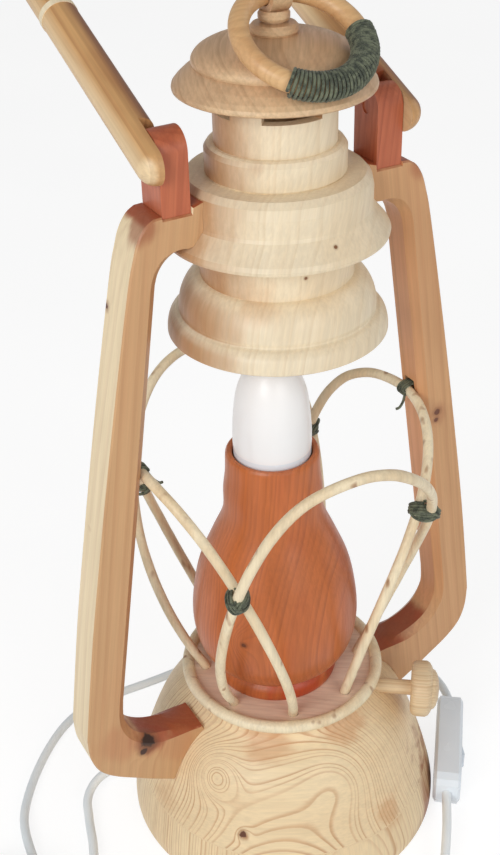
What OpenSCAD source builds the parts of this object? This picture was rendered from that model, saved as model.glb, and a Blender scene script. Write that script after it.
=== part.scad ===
// Wooden hurricane-lantern table lamp: turned base, vase-shaped column with a
// candle bulb, two side arms, turned hood, twig guard and a folding bail.
// Millimetres, +Z up, -Y is the front, the side arms stand on -X and +X.

/* [Base] */
// Radius of the turned base where it stands
base_r = 84; // [83.5:0.1:84.2]
// Height of the base up to the floor of the deck recess
base_h = 84; // [84:0.1:84.2]
// Radius of the hollow under the base
cavity_r = 56; // [50:1:58]
// Height of the hollow under the base
cavity_top = 34; // [30:1:36]
// Thickness of the bottom plate
plate_t = 4; // [3:0.5:5]
// Radius of the circle the plate screws stand on
screw_circle_r = 62; // [61.5:0.1:62.4]
// Thickness of the deck plate
deck_t = 6.2; // [5.6:0.1:7]
// Radius of the deck plate
deck_r = 47.1; // [46.9:0.1:47.3]
// Thickness of the rod of the gallery ring
ring_rod_d = 6.2; // [5.8:0.1:6.4]

/* [Column] */
// Sideways lean of the column from the base centre
column_x = -3; // [-3.2:0.1:-2.6]
// Depth offset of the column from the base centre
column_y = 1.5; // [1.2:0.1:1.8]
// Height of the vase-shaped column
vase_h = 135.4; // [134:0.2:136]
// Radius of the column foot
vase_foot_r = 28.5; // [28:0.1:29]
// Outer radius of the threaded tube
tube_r = 5; // [4.6:0.1:5]
// Wall of the threaded tube
tube_wall = 1.5; // [1:0.1:1.6]

/* [Bulb] */
// Radius of the frosted bulb
bulb_r = 19; // [18.4:0.1:19]
// Height of the frosted globe
globe_h = 49; // [46:1:50]
// Wall of the frosted globe
globe_wall = 1.2; // [0.8:0.1:1.6]
// Radius of the screw cap
cap_r = 6.9; // [6.6:0.1:6.9]
// Outer radius of the lamp holder
holder_r = 13.8; // [13.4:0.1:13.8]

/* [Arms] */
// Thickness of the side arms, front to back
arm_t = 20; // [19:0.5:21]
// Leg of the stopped chamfer on the inner edges
arm_chamfer = 3.6; // [2:0.2:4.4]
// Diameter of the dowels in the arms and ears
dowel_d = 6; // [5:0.2:6.2]
// Depth of the foot dowels in the base
dowel_in_base = 10; // [8:0.5:12]

/* [Hood] */
// Height of the mouth of the hood above the table
hood_z = 292.7; // [291:0.2:293]
// Mouth radius of the bell
bell_r = 49.6; // [49:0.1:49.8]
// Wall of the turned bell at its mouth
bell_wall = 4; // [3:0.2:5]
// Radius of the hole up through the hood
flue_r = 12; // [8:1:14]
// Radius of the hood neck
neck_r = 26; // [25.4:0.1:26.4]
// Wall of the hood neck
neck_wall = 5; // [4:0.5:6]
// Height of the vent slots in the neck
slot_h = 8; // [6:0.5:9]
// Angle that one vent slot spans
slot_angle = 58; // [50:1:62]
// Radius of the cap brim
brim_r = 42.2; // [41.8:0.1:42.3]

/* [Hoop] */
// Radius of the hanging hoop to the middle of its stick
hoop_r = 25.2; // [25:0.1:25.4]
// Radius of the hoop stick
hoop_stick_r = 4.1; // [3.8:0.1:4.1]
// Radius of the hole in the finial eye
eye_r = 4.9; // [4.9:0.1:5.1]
// Diameter of the twine
twine_d = 1.4; // [1.2:0.1:1.5]
// Turns of twine round the hoop
wrap_turns = 20; // [14:1:20]

/* [Bail] */
// Diameter of the bail sticks
bail_d = 16.4; // [15.6:0.2:16.6]
// Length of each bail stick up to the joint ring
bail_len = 90; // [86:1:94]
// Reach of the bail bow beyond the joint ring
bow_len = 100; // [90:1:110]
// Radius of the corners of the bail bow
bow_corner_r = 40; // [34:1:44]
// Lean of the bail backwards from upright, degrees
bail_lean = 67; // [60:1:70]
// Thickness of the ears from side to side
ear_t = 13; // [12.4:0.2:13]
// Width of the ears from front to back
ear_w = 18; // [17:0.5:18]

/* [Guard] */
// Diameter of the guard twigs
twig_d = 5; // [4.6:0.1:5]
// Radius of the circle of twig holes in the deck
twig_circle_r = 41; // [40.6:0.1:41.2]

/* [Knob] */
// Direction of the side knob, degrees
knob_angle = -37; // [-39:1:-35]
// Radius of the knob disc
knob_r = 12.6; // [12:0.2:13]
// Radius of the knob shaft
knob_shaft_r = 4; // [3.4:0.1:4]

/* [Cord and switch] */
// Diameter of the cord
cord_d = 5; // [4.8:0.1:5]
// Length of the cord switch
switch_len = 68; // [66:1:70]
// Height of the cord switch as it stands on its side
switch_h = 22; // [21:0.5:22]
// Thickness of the cord switch
switch_t = 15; // [14.4:0.2:15]

/* [Hidden] */
$fn = 64;
eps = 0.05;
fit = 0.02;
run = 0.06;

cream = [0.93, 0.84, 0.68];
pine = [0.89, 0.77, 0.58];
cherry = [0.70, 0.38, 0.20];
tan_wood = [0.80, 0.62, 0.42];
redwood = [0.66, 0.34, 0.24];
twig_col = [0.93, 0.85, 0.68];
twine_col = [0.42, 0.50, 0.41];
white = [0.95, 0.95, 0.95];
metal = [0.78, 0.76, 0.72];

// Smooth curve through hand-chosen points
function cr(a, b, c, d, t) = 0.5 * (2 * b + (c - a) * t
  + (2 * a - 5 * b + 4 * c - d) * t * t + (3 * b - a - 3 * c + d) * t * t * t);
function smooth(P, n) = [
  for (i = [0 : len(P) - 2])
    let (a = P[max(i - 1, 0)], b = P[i], c = P[i + 1], d = P[min(i + 2, len(P) - 1)])
      for (k = [0 : n - 1]) cr(a, b, c, d, k / n),
  P[len(P) - 1]
];
function unit(v) = v / norm(v);
function tangent(P, i) = unit(P[min(i + 1, len(P) - 1)] - P[max(i - 1, 0)]);

// Round tube swept along points, Q gives each ring a sideways reference
module tube(P, Q, r, sides) {
  n = len(P);
  V = [
    for (i = [0 : n - 1])
      let (t = tangent(P, i), a = unit(cross(t, Q[i])), b = cross(t, a))
        for (k = [0 : sides - 1])
          P[i] + r * (cos(360 * k / sides) * a + sin(360 * k / sides) * b)
  ];
  F = [
    [for (k = [0 : sides - 1]) k],
    [for (k = [0 : sides - 1]) n * sides - 1 - k],
    for (i = [0 : n - 2]) for (k = [0 : sides - 1])
      let (j = (k + 1) % sides, a = i * sides)
        [a + k, a + sides + k, a + sides + j],
    for (i = [0 : n - 2]) for (k = [0 : sides - 1])
      let (j = (k + 1) % sides, a = i * sides)
        [a + k, a + sides + j, a + j]
  ];
  polyhedron(points = V, faces = F, convexity = 8);
}

// Least gap between turns of one tube, from its centre points
function least_gap(P, d, skip) = min([
  for (i = [0 : len(P) - 1]) for (j = [i + skip : 1 : len(P) - 1]) norm(P[i] - P[j])
]) - d;

// Base

deck_top = base_h + deck_t;
ring_rod_r = ring_rod_d / 2;
ring_r = deck_r + eps + ring_rod_r;
lip_z = deck_top - ring_rod_r - eps;
lip_r = ring_r + 0.4;
dowel_r = dowel_d / 2;
foot_dowel_z = base_h - 18;
relief_z = 9;
relief_angle = 150;
rim_r = deck_r - 0.3;

// Point on the dome, at a share of the way from the rim out to the foot
function dome(share, z) = [rim_r + share * (base_r - rim_r), z];

base_curve = smooth([
  dome(1, 2), dome(0.992, 0.095 * base_h), dome(0.93, 0.214 * base_h),
  dome(0.839, 0.357 * base_h), dome(0.731, 0.5 * base_h), dome(0.651, base_h - 34),
  dome(0.556, base_h - 26), dome(0.435, base_h - 19), dome(0.288, base_h - 13),
  dome(0.14, base_h - 8.5), dome(0.046, base_h - 5), dome(0, base_h - 1.6)
], 5);

module base_outline(grow) {
  polygon(concat(
    [[0, 0], [base_r - 1 + grow, 0]],
    [for (p = base_curve) [p[0] + grow, p[1]]],
    [[lip_r - 2.6 + grow, base_h + 0.8], [lip_r + grow, base_h + 1.6]],
    [[lip_r + grow, lip_z], [0, lip_z]]
  ));
}

module screw_spots() {
  for (a = [45 : 90 : 315])
    rotate([0, 0, a])
      translate([screw_circle_r, 0, 0])
        children();
}

module base() {
  color(pine)
  difference() {
    rotate_extrude($fn = 128) base_outline(0);
    translate([0, 0, base_h]) cylinder(r = deck_r + 0.1, h = 20, $fn = 128);
    translate([0, 0, -1]) cylinder(r = plate_r + 0.2, h = plate_t + 1, $fn = 128);
    cylinder(r = cavity_r, h = cavity_top, $fn = 96);
    translate([column_x, column_y, 10]) cylinder(r = tube_r + 0.1, h = 90);
    rotate([0, 0, knob_angle])
      translate([knob_in_r, 0, knob_z])
        rotate([0, 90, 0]) cylinder(r = knob_shaft_r + 0.05, h = 60);
    for (s = [-1, 1])
      translate([s * foot_hole_in, 0, foot_dowel_z])
        rotate([0, s * 90, 0]) cylinder(r = dowel_r + fit, h = 40);
    rotate([0, 0, relief_angle])
      translate([cavity_r - 6, 0, relief_z])
        rotate([0, 90, 0]) cylinder(r = relief_r + fit, h = 60);
    screw_spots() cylinder(r = screw_r + fit, h = plate_t + 11);
  }
}

plate_r = screw_circle_r + 4;
screw_r = 1.7;

module base_plate() {
  color(pine)
  difference() {
    cylinder(r = plate_r, h = plate_t, $fn = 128);
    screw_spots()
      rotate_extrude($fn = 48)
        polygon([
          [0, -1], [screw_r + 3.3, -1], [screw_r + 0.3, 2.2],
          [screw_r + 0.3, plate_t + 2], [0, plate_t + 2]
        ]);
  }
}

module base_screws() {
  color(metal)
  screw_spots()
    difference() {
      union() {
        translate([0, 0, 0.2]) cylinder(r1 = screw_r + 2, r2 = screw_r, h = 2);
        translate([0, 0, 0.3]) cylinder(r = screw_r, h = plate_t + 9);
      }
      translate([0, 0, 0]) cube([3.2, 0.7, 1.8], center = true);
    }
}

module twig_spots() {
  for (k = [0 : 7])
    rotate([0, 0, 22.5 + 45 * k])
      translate([twig_circle_r, 0, 0])
        children();
}

module deck_plate() {
  color([0.74, 0.57, 0.46])
  difference() {
    translate([0, 0, base_h]) cylinder(r = deck_r, h = deck_t, $fn = 128);
    translate([column_x, column_y, base_h - 1]) cylinder(r = tube_r + 0.15, h = deck_t + 2);
    twig_spots()
      translate([0, 0, base_h - 1]) cylinder(r = twig_r + 0.2, h = deck_t + 2, $fn = 32);
  }
}

module gallery_ring() {
  color(twig_col)
  translate([0, 0, deck_top])
    rotate_extrude($fn = 128)
      translate([ring_r, 0]) circle(r = ring_rod_r, $fn = 32);
}

// Where the side arms stand

arm_top_x = bell_r + 22.4;
arm_top_z = hood_z + 67.3;
arm_foot_x = base_r + 32.2;
inner_top_x = arm_top_x - 10;
inner_top_z = hood_z + 37.3;
inner_foot_x = base_r + 10.5;
inner_foot_z = base_h + 28;
inner_rise = inner_top_z - inner_foot_z;
inner_lean = atan((inner_foot_x - inner_top_x) / inner_rise);

// Guard of bent twigs

twig_r = twig_d / 2;
arch_z0 = deck_top + 0.4;

// Rise, spread and three shape exponents of each arch
arch_front = [161.5, 37, 1.8, 3.0, 0.86];
arch_back = [154.5, 39, 1.8, 2.3, 0.82];
arch_left = [147.5, arm_reach(147.5), 1.6, 3.0, 0.83];
arch_right = [145.5, arm_reach(145.5), 1.8, 2.6, 0.72];

function arm_inner(z) = inner_top_x + (inner_top_z - z) * tan(inner_lean);
function arm_reach(h) = arm_inner(arch_z0 + h) - twig_r - 0.1 - twig_circle_r;
function spread(c, e) = 67.5 * sign(c) * pow(abs(c), e);
function arch_at(q, mid, t) =
  let (c = cos(t), s = pow(max(sin(t), 0), q[2]),
    a = mid + spread(c, q[4]),
    r = twig_circle_r + q[1] * (1 - pow(1 - s, q[3])))
    [r * cos(a), r * sin(a), arch_z0 + q[0] * s];
arch_steps = [
  0, 5, 9, 13, 18, 24, 30, 36, 43, 50, 58, 66, 74, 82, 90,
  98, 106, 114, 122, 130, 137, 144, 150, 156, 162, 167, 171, 175, 180
];
function arch_path(q, mid) = concat(
  [arch_foot(mid + 67.5, base_h), arch_foot(mid + 67.5, deck_top)],
  [for (t = arch_steps) arch_at(q, mid, t)],
  [arch_foot(mid - 67.5, deck_top), arch_foot(mid - 67.5, base_h)]
);
function arch_foot(a, z) = [twig_circle_r * cos(a), twig_circle_r * sin(a), z];

module guard_arch(q, mid) {
  P = arch_path(q, mid);
  color(twig_col) tube(P, [for (p = P) [p[0], p[1], 0]], twig_r, 8);
}

// Twine ties: a few turns wound round what they hold

twine_r = twine_d / 2;
tie_pitch = twine_d + 0.55;
tie_turns = 2.5;
tie_rings = 15;

// Turn of twine as an oval, along e1 and e2, climbing along e3
function tie_path(mid, e1, e2, e3, a, b) = [
  for (i = [0 : floor(tie_turns * tie_rings)])
    let (f = 360 * i / tie_rings, u = i / tie_rings - tie_turns / 2)
      mid + a * cos(f) * e1 + b * sin(f) * e2 + u * tie_pitch * e3
];

// Where a front or back arch crosses a side arch
function cross_t(q) = acos(pow(45 / 67.5, 1 / q[4]));
function cross_mid(q1, q2, a) =
  let (p1 = arch_at(q1, 0, cross_t(q1)), p2 = arch_at(q2, 0, cross_t(q2)),
    r = (norm([p1[0], p1[1]]) + norm([p2[0], p2[1]])) / 2)
    [r * cos(a), r * sin(a), (p1[2] + p2[2]) / 2];

module crossing_tie(q1, q2, a) {
  P = tie_path(cross_mid(q1, q2, a), [cos(a), sin(a), 0],
    [-sin(a), cos(a), 0], [0, 0, 1], 2 * twig_r + 1.6, 2 * twig_r + 0.6);
  color(twine_col) tube(P, [for (p = P) [0, 0, 1]], twine_r, 6);
}

module crossing_ties() {
  crossing_tie(arch_front, arch_left, -135);
  crossing_tie(arch_front, arch_right, -45);
  crossing_tie(arch_back, arch_left, 135);
  crossing_tie(arch_back, arch_right, 45);
}

// Belt round a twig and the pin behind it
tie_pin_r = 1;
tie_pin_in = 3.9;
function belt(f, D, R1, R2) = (cos(f) > (R1 - R2) / D)
  ? [D + R2 * cos(f), R2 * sin(f)] : [R1 * cos(f), R1 * sin(f)];
function arm_tie_path(q, s) = [
  for (i = [0 : floor(tie_turns * tie_rings)])
    let (z = arch_z0 + q[0], x = arm_inner(z), u = i / tie_rings - tie_turns / 2,
      b = belt(360 * i / tie_rings, tie_pin_in + twig_r + 0.1,
        twig_r + 0.3 + twine_r, tie_pin_r + 0.3 + twine_r))
      [s * (x - twig_r - 0.1 + b[0]), u * tie_pitch, z + b[1]]
];

module arm_tie(q, s) {
  P = arm_tie_path(q, s);
  color(twine_col) tube(P, [for (p = P) [0, 1, 0]], twine_r, 6);
}

module tie_pin(q, s, grow) {
  translate([s * (arm_inner(arch_z0 + q[0]) + tie_pin_in), 0, arch_z0 + q[0]])
    rotate([90, 0, 0]) cylinder(r = tie_pin_r + grow, h = 15, center = true, $fn = 32);
}

module tie_pins() {
  color(metal) {
    tie_pin(arch_left, -1, 0);
    tie_pin(arch_right, 1, 0);
  }
}

// Column

vase_top = deck_top + vase_h;
holder_z = deck_top + 22;
core_z = holder_z + 16;
shell_z = core_z + 28;
contact_z = shell_z + 2.4;
cap_z = contact_z + 0.05;
housing_z = cap_z + 23.4;
globe_z = vase_top + 2.4;
vase_bore_r = holder_r + 0.4;

vase_curve = smooth([
  [vase_foot_r - 0.9, deck_top + 4.8], [vase_foot_r + 4.9, deck_top + 7.8],
  [vase_foot_r + 10.1, deck_top + 15.8], [vase_foot_r + 13.2, deck_top + 25.8],
  [vase_foot_r + 14.2, deck_top + 37.8], [vase_foot_r + 13, deck_top + 51.8],
  [vase_foot_r + 9.7, deck_top + 67.8], [vase_foot_r + 3.3, deck_top + 83.8],
  [bulb_r + 6.2, vase_top - 35.6], [bulb_r + 5.4, vase_top - 21.6],
  [bulb_r + 4.2, vase_top - 11.6], [bulb_r + 3.9, vase_top - 3],
  [bulb_r + 3.6, vase_top - 1]
], 5);

module chimney_vase() {
  color(cherry)
  translate([column_x, column_y, 0])
    rotate_extrude($fn = 128)
      polygon(concat(
        [[tube_r + 0.15, deck_top], [vase_foot_r - 0.4, deck_top]],
        [[vase_foot_r + 0.3, deck_top + 0.8], [vase_foot_r + 0.3, deck_top + 3.2]],
        vase_curve,
        [[bulb_r + 2.8, vase_top], [bulb_r + 1.2, vase_top]],
        [[bulb_r + 0.4, vase_top - 1], [bulb_r + 0.4, vase_top - 35]],
        [[vase_bore_r, vase_top - 43], [vase_bore_r, holder_z], [tube_r + 0.15, holder_z]]
      ));
}

module on_column(z) {
  translate([column_x, column_y, z]) children();
}

module threaded_tube() {
  color(metal)
  on_column(cavity_top - 6)
    difference() {
      cylinder(r = tube_r, h = holder_z + 9 - cavity_top + 6);
      translate([0, 0, -1]) cylinder(r = tube_r - tube_wall, h = 200);
    }
}

module hex_nut(z) {
  on_column(z)
    difference() {
      cylinder(r = 9, h = 3, $fn = 6);
      translate([0, 0, -1]) cylinder(r = tube_r + fit, h = 5);
    }
}

module tube_nuts() {
  color(metal) {
    hex_nut(cavity_top - 4.5);
    hex_nut(holder_z + 3.1);
  }
}

module tube_washer() {
  color(metal)
  on_column(cavity_top - 1.5)
    difference() {
      cylinder(r = 12, h = 1.5);
      translate([0, 0, -1]) cylinder(r = tube_r + 0.2, h = 4);
    }
}

module holder_sleeve() {
  color(white)
  on_column(0)
    rotate_extrude($fn = 96)
      polygon([
        [tube_r + 0.15, holder_z], [holder_r, holder_z], [holder_r, housing_z - 1],
        [holder_r - 1.8, housing_z - 1], [holder_r - 1.8, core_z],
        [holder_r - 3.4, core_z], [holder_r - 3.4, holder_z + 3], [tube_r + 0.15, holder_z + 3]
      ]);
}

module holder_core() {
  color(white)
  on_column(core_z)
    difference() {
      cylinder(r = holder_r - 1.9, h = shell_z - core_z);
      translate([0, 0, -1]) cylinder(r = 3, h = 20);
    }
}

module screw_shell() {
  color(metal)
  on_column(shell_z)
    difference() {
      cylinder(r = cap_r + 0.7, h = housing_z - shell_z - 2);
      translate([0, 0, -1]) cylinder(r = cap_r + 0.1, h = 40);
    }
}

module centre_contact() {
  color(metal)
  on_column(shell_z)
    cylinder(r = 3, h = contact_z - shell_z);
}

module bulb_cap() {
  color(metal)
  on_column(cap_z)
    rotate_extrude()
      polygon([
        [0, 0], [2.4, 0], [cap_r - 1, 2.4], [cap_r - 0.3, 3.4], [cap_r, 5],
        [cap_r, housing_z - cap_z], [0, housing_z - cap_z]
      ]);
}

module bulb_housing() {
  color(white)
  on_column(0)
    rotate_extrude($fn = 96)
      polygon([
        [0, housing_z], [cap_r + 1.1, housing_z], [cap_r + 1.6, housing_z + 3],
        [bulb_r - 5, housing_z + 13], [bulb_r - 1.4, housing_z + 28],
        [bulb_r - 0.2, vase_top - 4], [bulb_r - 0.2, globe_z], [0, globe_z]
      ]);
}

globe_curve = smooth([
  [bulb_r - 0.1, globe_z], [bulb_r, globe_z + 4], [bulb_r - 0.2, globe_z + 12],
  [bulb_r - 1.4, globe_z + globe_h - 24], [bulb_r - 3.2, globe_z + globe_h - 16],
  [bulb_r - 6.4, globe_z + globe_h - 8.6], [bulb_r - 10.4, globe_z + globe_h - 3.4],
  [bulb_r - 14.6, globe_z + globe_h - 0.8], [0.02, globe_z + globe_h]
], 4);

module bulb_globe() {
  color([0.97, 0.97, 0.97])
  on_column(0)
    rotate_extrude($fn = 96)
      polygon(concat(
        [for (p = globe_curve) [max(p[0], 0), p[1]]],
        [[0, globe_z + globe_h], [0, globe_z + globe_h - globe_wall]],
        [for (i = [len(globe_curve) - 3 : -1 : 1])
          [globe_curve[i][0] - globe_wall, globe_curve[i][1] - 0.4 * globe_wall]],
        [[bulb_r - globe_wall - 0.1, globe_z]]
      ));
}

// Side arms

shoulder_x = bell_r - 13.6;

// Point on the long outer edge, at shares of the way out and down to the foot
function slant(out, down) = [
  arm_top_x + out * (arm_foot_x - arm_top_x),
  arm_top_z - 15 - down * (arm_top_z - 15 - base_h - 11)
];

arm_outer = smooth([
  [arm_top_x - 10, arm_top_z], [arm_top_x - 6, arm_top_z - 2.6],
  [arm_top_x - 2.4, arm_top_z - 8], slant(0, 0), slant(0.086, 0.06),
  slant(0.342, 0.288), slant(0.579, 0.516), slant(0.805, 0.748), slant(0.982, 0.964),
  slant(1, 1), [arm_foot_x - 1.6, base_h + 0.5], [arm_foot_x - 6.2, base_h - 12],
  [arm_foot_x - 11.2, base_h - 21], [arm_foot_x - 18.2, base_h - 27],
  [arm_foot_x - 28.2, base_h - 31.4], [arm_foot_x - 38.2, base_h - 35.4]
], 4);
arm_inside = smooth([
  [base_r - 30, base_h - 7.1], [base_r - 23, base_h - 6.5], [base_r - 9, base_h - 3.5],
  [base_r, base_h], [base_r + 7, base_h + 6], [base_r + 11, base_h + 16],
  [inner_foot_x, inner_foot_z]
], 4);
arm_shoulder = smooth([
  [inner_top_x, inner_top_z], [inner_top_x - 1.5, inner_top_z + 4.6],
  [inner_top_x - 4, inner_top_z + 8.4], [inner_top_x - 7, inner_top_z + 11],
  [inner_top_x - 11, inner_top_z + 13], [shoulder_x + 6, inner_top_z + 15],
  [shoulder_x, inner_top_z + 16]
], 4);
ear_in = bell_r - 4.6;
ear_out = ear_in + ear_t;
ear_z = arm_top_z - 1;
pivot_z = arm_top_z + 24.5;
top_dowel_z = arm_top_z - 6;
top_dowel_x = bell_r - 16.6;
foot_hole_in = base_r - 21.6 - dowel_in_base;
foot_hole_out = base_r - 6;

module arm_shape() {
  polygon(concat(
    [[shoulder_x, arm_top_z + 3], [ear_in - 0.2, arm_top_z + 1.8]],
    [[ear_in - 0.2, ear_z], [ear_out + 0.2, ear_z], [ear_out + 0.2, arm_top_z + 0.2]],
    arm_outer,
    [[base_r - 18, base_h - 41], [base_r - 30, base_h - 41]],
    arm_inside, arm_shoulder
  ));
}

module long_chamfer(y) {
  translate([(inner_top_x + inner_foot_x) / 2, y, (inner_top_z + inner_foot_z) / 2])
    rotate([0, -inner_lean, 0])
      rotate([0, 0, 45])
        cube([arm_chamfer * 1.414, arm_chamfer * 1.414, inner_rise - 13], center = true);
}

module arm(q, s) {
  color(tan_wood)
  difference() {
    rotate([90, 0, 0])
      linear_extrude(arm_t, center = true)
        scale([s, 1]) arm_shape();
    rotate_extrude($fn = 128) base_outline(0.06);
    hood_outline(0.06);
    scale([s, 1, 1]) {
      long_chamfer(arm_t / 2);
      long_chamfer(-arm_t / 2);
    }
    translate([s * (arm_inner(arch_z0 + q[0]) + 3.5), 0, arch_z0 + q[0]])
      cube([9.6, 7.4, 10.6], center = true);
    tie_pin(q, s, fit);
    translate([s * (foot_hole_out - 28), 0, foot_dowel_z])
      rotate([0, s * 90, 0]) cylinder(r = dowel_r + fit, h = 28.1);
    translate([s * (top_dowel_x - 3), 0, top_dowel_z])
      rotate([0, s * 90, 0]) cylinder(r = 2.52, h = 17.1);
    translate([s * (ear_in + ear_t / 2), 0, ear_z - 13.1])
      cylinder(r = dowel_r + fit, h = 20);
  }
}

module arm_dowels() {
  color(pine)
  for (s = [-1, 1]) {
    translate([s * foot_hole_in, 0, foot_dowel_z])
      rotate([0, s * 90, 0]) cylinder(r = dowel_r, h = foot_hole_out - foot_hole_in);
    translate([s * top_dowel_x, 0, top_dowel_z])
      rotate([0, s * 90, 0]) cylinder(r = 2.5, h = 14);
  }
}

module ear(s) {
  color(redwood)
  difference() {
    translate([s * (ear_in + ear_t / 2), 0, 0])
      rotate([0, 90, 0])
        linear_extrude(ear_t, center = true)
          union() {
            translate([-pivot_z, 0]) circle(r = ear_w / 2);
            translate([-pivot_z, -ear_w / 2]) square([pivot_z - ear_z, ear_w]);
          }
    translate([s * (ear_in - 1), 0, pivot_z])
      rotate([0, s * 90, 0]) cylinder(r = peg_r + run, h = ear_t + 2);
    translate([s * (ear_in + ear_t / 2), 0, ear_z - 1])
      cylinder(r = dowel_r + fit, h = 12.1);
  }
}

module ear_dowels() {
  color(pine)
  for (s = [-1, 1])
    translate([s * (ear_in + ear_t / 2), 0, ear_z - 13])
      cylinder(r = dowel_r, h = 24);
}

// Hood, turned in stacked pieces

flange_z = hood_z + 45.3;
step_z = flange_z + 13;
ring_z = step_z + 15;
neck_z = ring_z + 13;
brim_z = neck_z + 22;
dome_z = brim_z + 10;
top_z = dome_z + 11.4;
eye_z = top_z + 15.7;

bell_curve = smooth([
  [bell_r, hood_z + 0.8], [bell_r - 0.2, hood_z + 3.6], [bell_r - 1.8, hood_z + 6.8],
  [bell_r - 4.6, hood_z + 10], [bell_r - 5.2, hood_z + 12.6],
  [bell_r - 6.2, hood_z + 16.6], [bell_r - 9, hood_z + 21.6],
  [bell_r - 12.8, hood_z + 26.6], [bell_r - 15, hood_z + 31.6],
  [bell_r - 15.6, hood_z + 37]
], 5);

module hood_bell() {
  color(cream)
  rotate_extrude($fn = 128)
    polygon(concat(
      [[bell_r - bell_wall, hood_z], [bell_r - 1, hood_z]],
      bell_curve,
      [[bell_r - 15.6, flange_z], [flue_r, flange_z], [flue_r, flange_z - 6]],
      [for (i = [len(bell_curve) - 4 : -1 : 2])
        [bell_curve[i][0] - bell_wall - 1, bell_curve[i][1] - 1.4]]
    ));
}

module flange_shape(low) {
  polygon([
    [low, flange_z], [bell_r - 2.2, flange_z], [bell_r - 0.6, flange_z + 0.8],
    [bell_r - 0.3, flange_z + 2.2], [bell_r - 1.2, flange_z + 4],
    [bell_r - 4, flange_z + 7.2], [bell_r - 7.6, flange_z + 11.6],
    [bell_r - 8.1, step_z], [bell_r - 8.1, step_z + 8], [bell_r - 9, step_z + 12.4],
    [bell_r - 11.4, ring_z], [low, ring_z]
  ]);
}

module hood_flange() {
  color(cream)
  difference() {
    rotate_extrude($fn = 128) flange_shape(flue_r);
    for (s = [-1, 1])
      translate([s * (top_dowel_x - 0.1), 0, top_dowel_z])
        rotate([0, s * 90, 0]) cylinder(r = 2.52, h = 30);
  }
}

module hood_ring() {
  color(cream)
  translate([0, 0, ring_z])
    rotate_extrude($fn = 128)
      polygon([
        [flue_r, 0], [neck_r + 3.6, 0], [neck_r + 4.2, 0.8], [neck_r + 4.2, 10.6],
        [neck_r + 3, 12.4], [neck_r + 1.6, 13], [flue_r, 13]
      ]);
}

module hood_outline(grow) {
  rotate_extrude($fn = 128)
    union() {
      translate([grow, 0]) flange_shape(1);
      translate([0, hood_z]) square([bell_r - 15.6 + grow, flange_z - hood_z + 1]);
    }
}

module hood_neck() {
  color(cream)
  difference() {
    translate([0, 0, neck_z])
      rotate_extrude($fn = 128)
        polygon([
          [flue_r, 0], [neck_r, 0], [neck_r, 22], [neck_r - neck_wall, 22],
          [neck_r - neck_wall, 5], [flue_r, 5]
        ]);
    for (k = [0 : 3])
      rotate([0, 0, -103 - slot_angle / 2 + 90 * k])
        rotate_extrude(angle = slot_angle, $fn = 128)
          translate([neck_r - neck_wall - 2, brim_z - slot_h]) square([neck_wall + 4, slot_h + 1]);
  }
}

module cap_brim() {
  color(cream)
  translate([0, 0, brim_z])
    rotate_extrude($fn = 128)
      polygon([
        [0, 0], [brim_r - 1, 0], [brim_r - 0.2, 0.6], [brim_r, 1.4],
        [brim_r - 0.3, 2.6], [brim_r - 1.8, 4.4], [brim_r - 4.6, 7],
        [brim_r - 7.6, 9.2], [brim_r - 9, 10], [0, 10]
      ]);
}

module cap_dome() {
  color(cream)
  difference() {
    translate([0, 0, dome_z])
      rotate_extrude($fn = 128)
        polygon(concat(
          [[0, 0]],
          smooth([
            [33.4, 0], [33.9, 1.4], [33.4, 3.4], [31, 6], [26, 8.5], [19, 10.3],
            [10.4, 11.4]
          ], 4),
          [[0, 11.4]]
        ));
    translate([0, 0, top_z - 8]) cylinder(r = 3 + fit, h = 12);
  }
}

eye_disc_r = eye_r + 2.7;

module finial() {
  color(cream)
  difference() {
    union() {
      translate([0, 0, top_z - 7.9]) cylinder(r = 3, h = 10);
      translate([0, 0, top_z])
        rotate_extrude($fn = 96)
          polygon([
            [0, 0], [9.2, 0], [9.8, 1], [9.8, 3], [8.8, 4.1], [4.6, 4.4],
            [4.6, 4.9], [6, 5.2], [6.5, 6.2], [6.5, 8], [5.8, 9.1], [0, 9.1]
          ]);
      translate([0, 0, eye_z])
        rotate([0, 90, 0]) cylinder(r = eye_disc_r, h = 9, center = true, $fn = 96);
    }
    translate([0, 0, eye_z])
      rotate([0, 90, 0]) cylinder(r = eye_r, h = 20, center = true, $fn = 96);
  }
}

// Hanging hoop, resting on the brim

hoop_tilt = 31;

function hoop_at(a) = [
  hoop_r * sin(a), -hoop_r * cos(hoop_tilt) * (1 + cos(a)),
  eye_z - hoop_r * sin(hoop_tilt) * (1 + cos(a))
];
hoop_mid = [0, -hoop_r * cos(hoop_tilt), eye_z - hoop_r * sin(hoop_tilt)];
hoop_normal = [0, -sin(hoop_tilt), cos(hoop_tilt)];

module hoop_frame() {
  translate(hoop_mid)
    rotate([hoop_tilt, 0, 0])
      children();
}

module hoop_ring() {
  color([0.84, 0.65, 0.42])
  hoop_frame()
    rotate_extrude($fn = 128)
      translate([hoop_r, 0]) circle(r = hoop_stick_r, $fn = 48);
}

under_r = hoop_stick_r + 1.1;
wrap_from = -40;
wrap_to = 90;

// Angle 0 of the hoop points to the front, so the arc starts at -90
module hoop_underwrap() {
  color(twine_col)
  hoop_frame()
    rotate([0, 0, -90 + wrap_from])
      rotate_extrude(angle = wrap_to - wrap_from, $fn = 128)
        translate([hoop_r, 0])
          difference() {
            circle(r = under_r, $fn = 48);
            circle(r = hoop_stick_r + eps, $fn = 48);
          }
}

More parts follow.
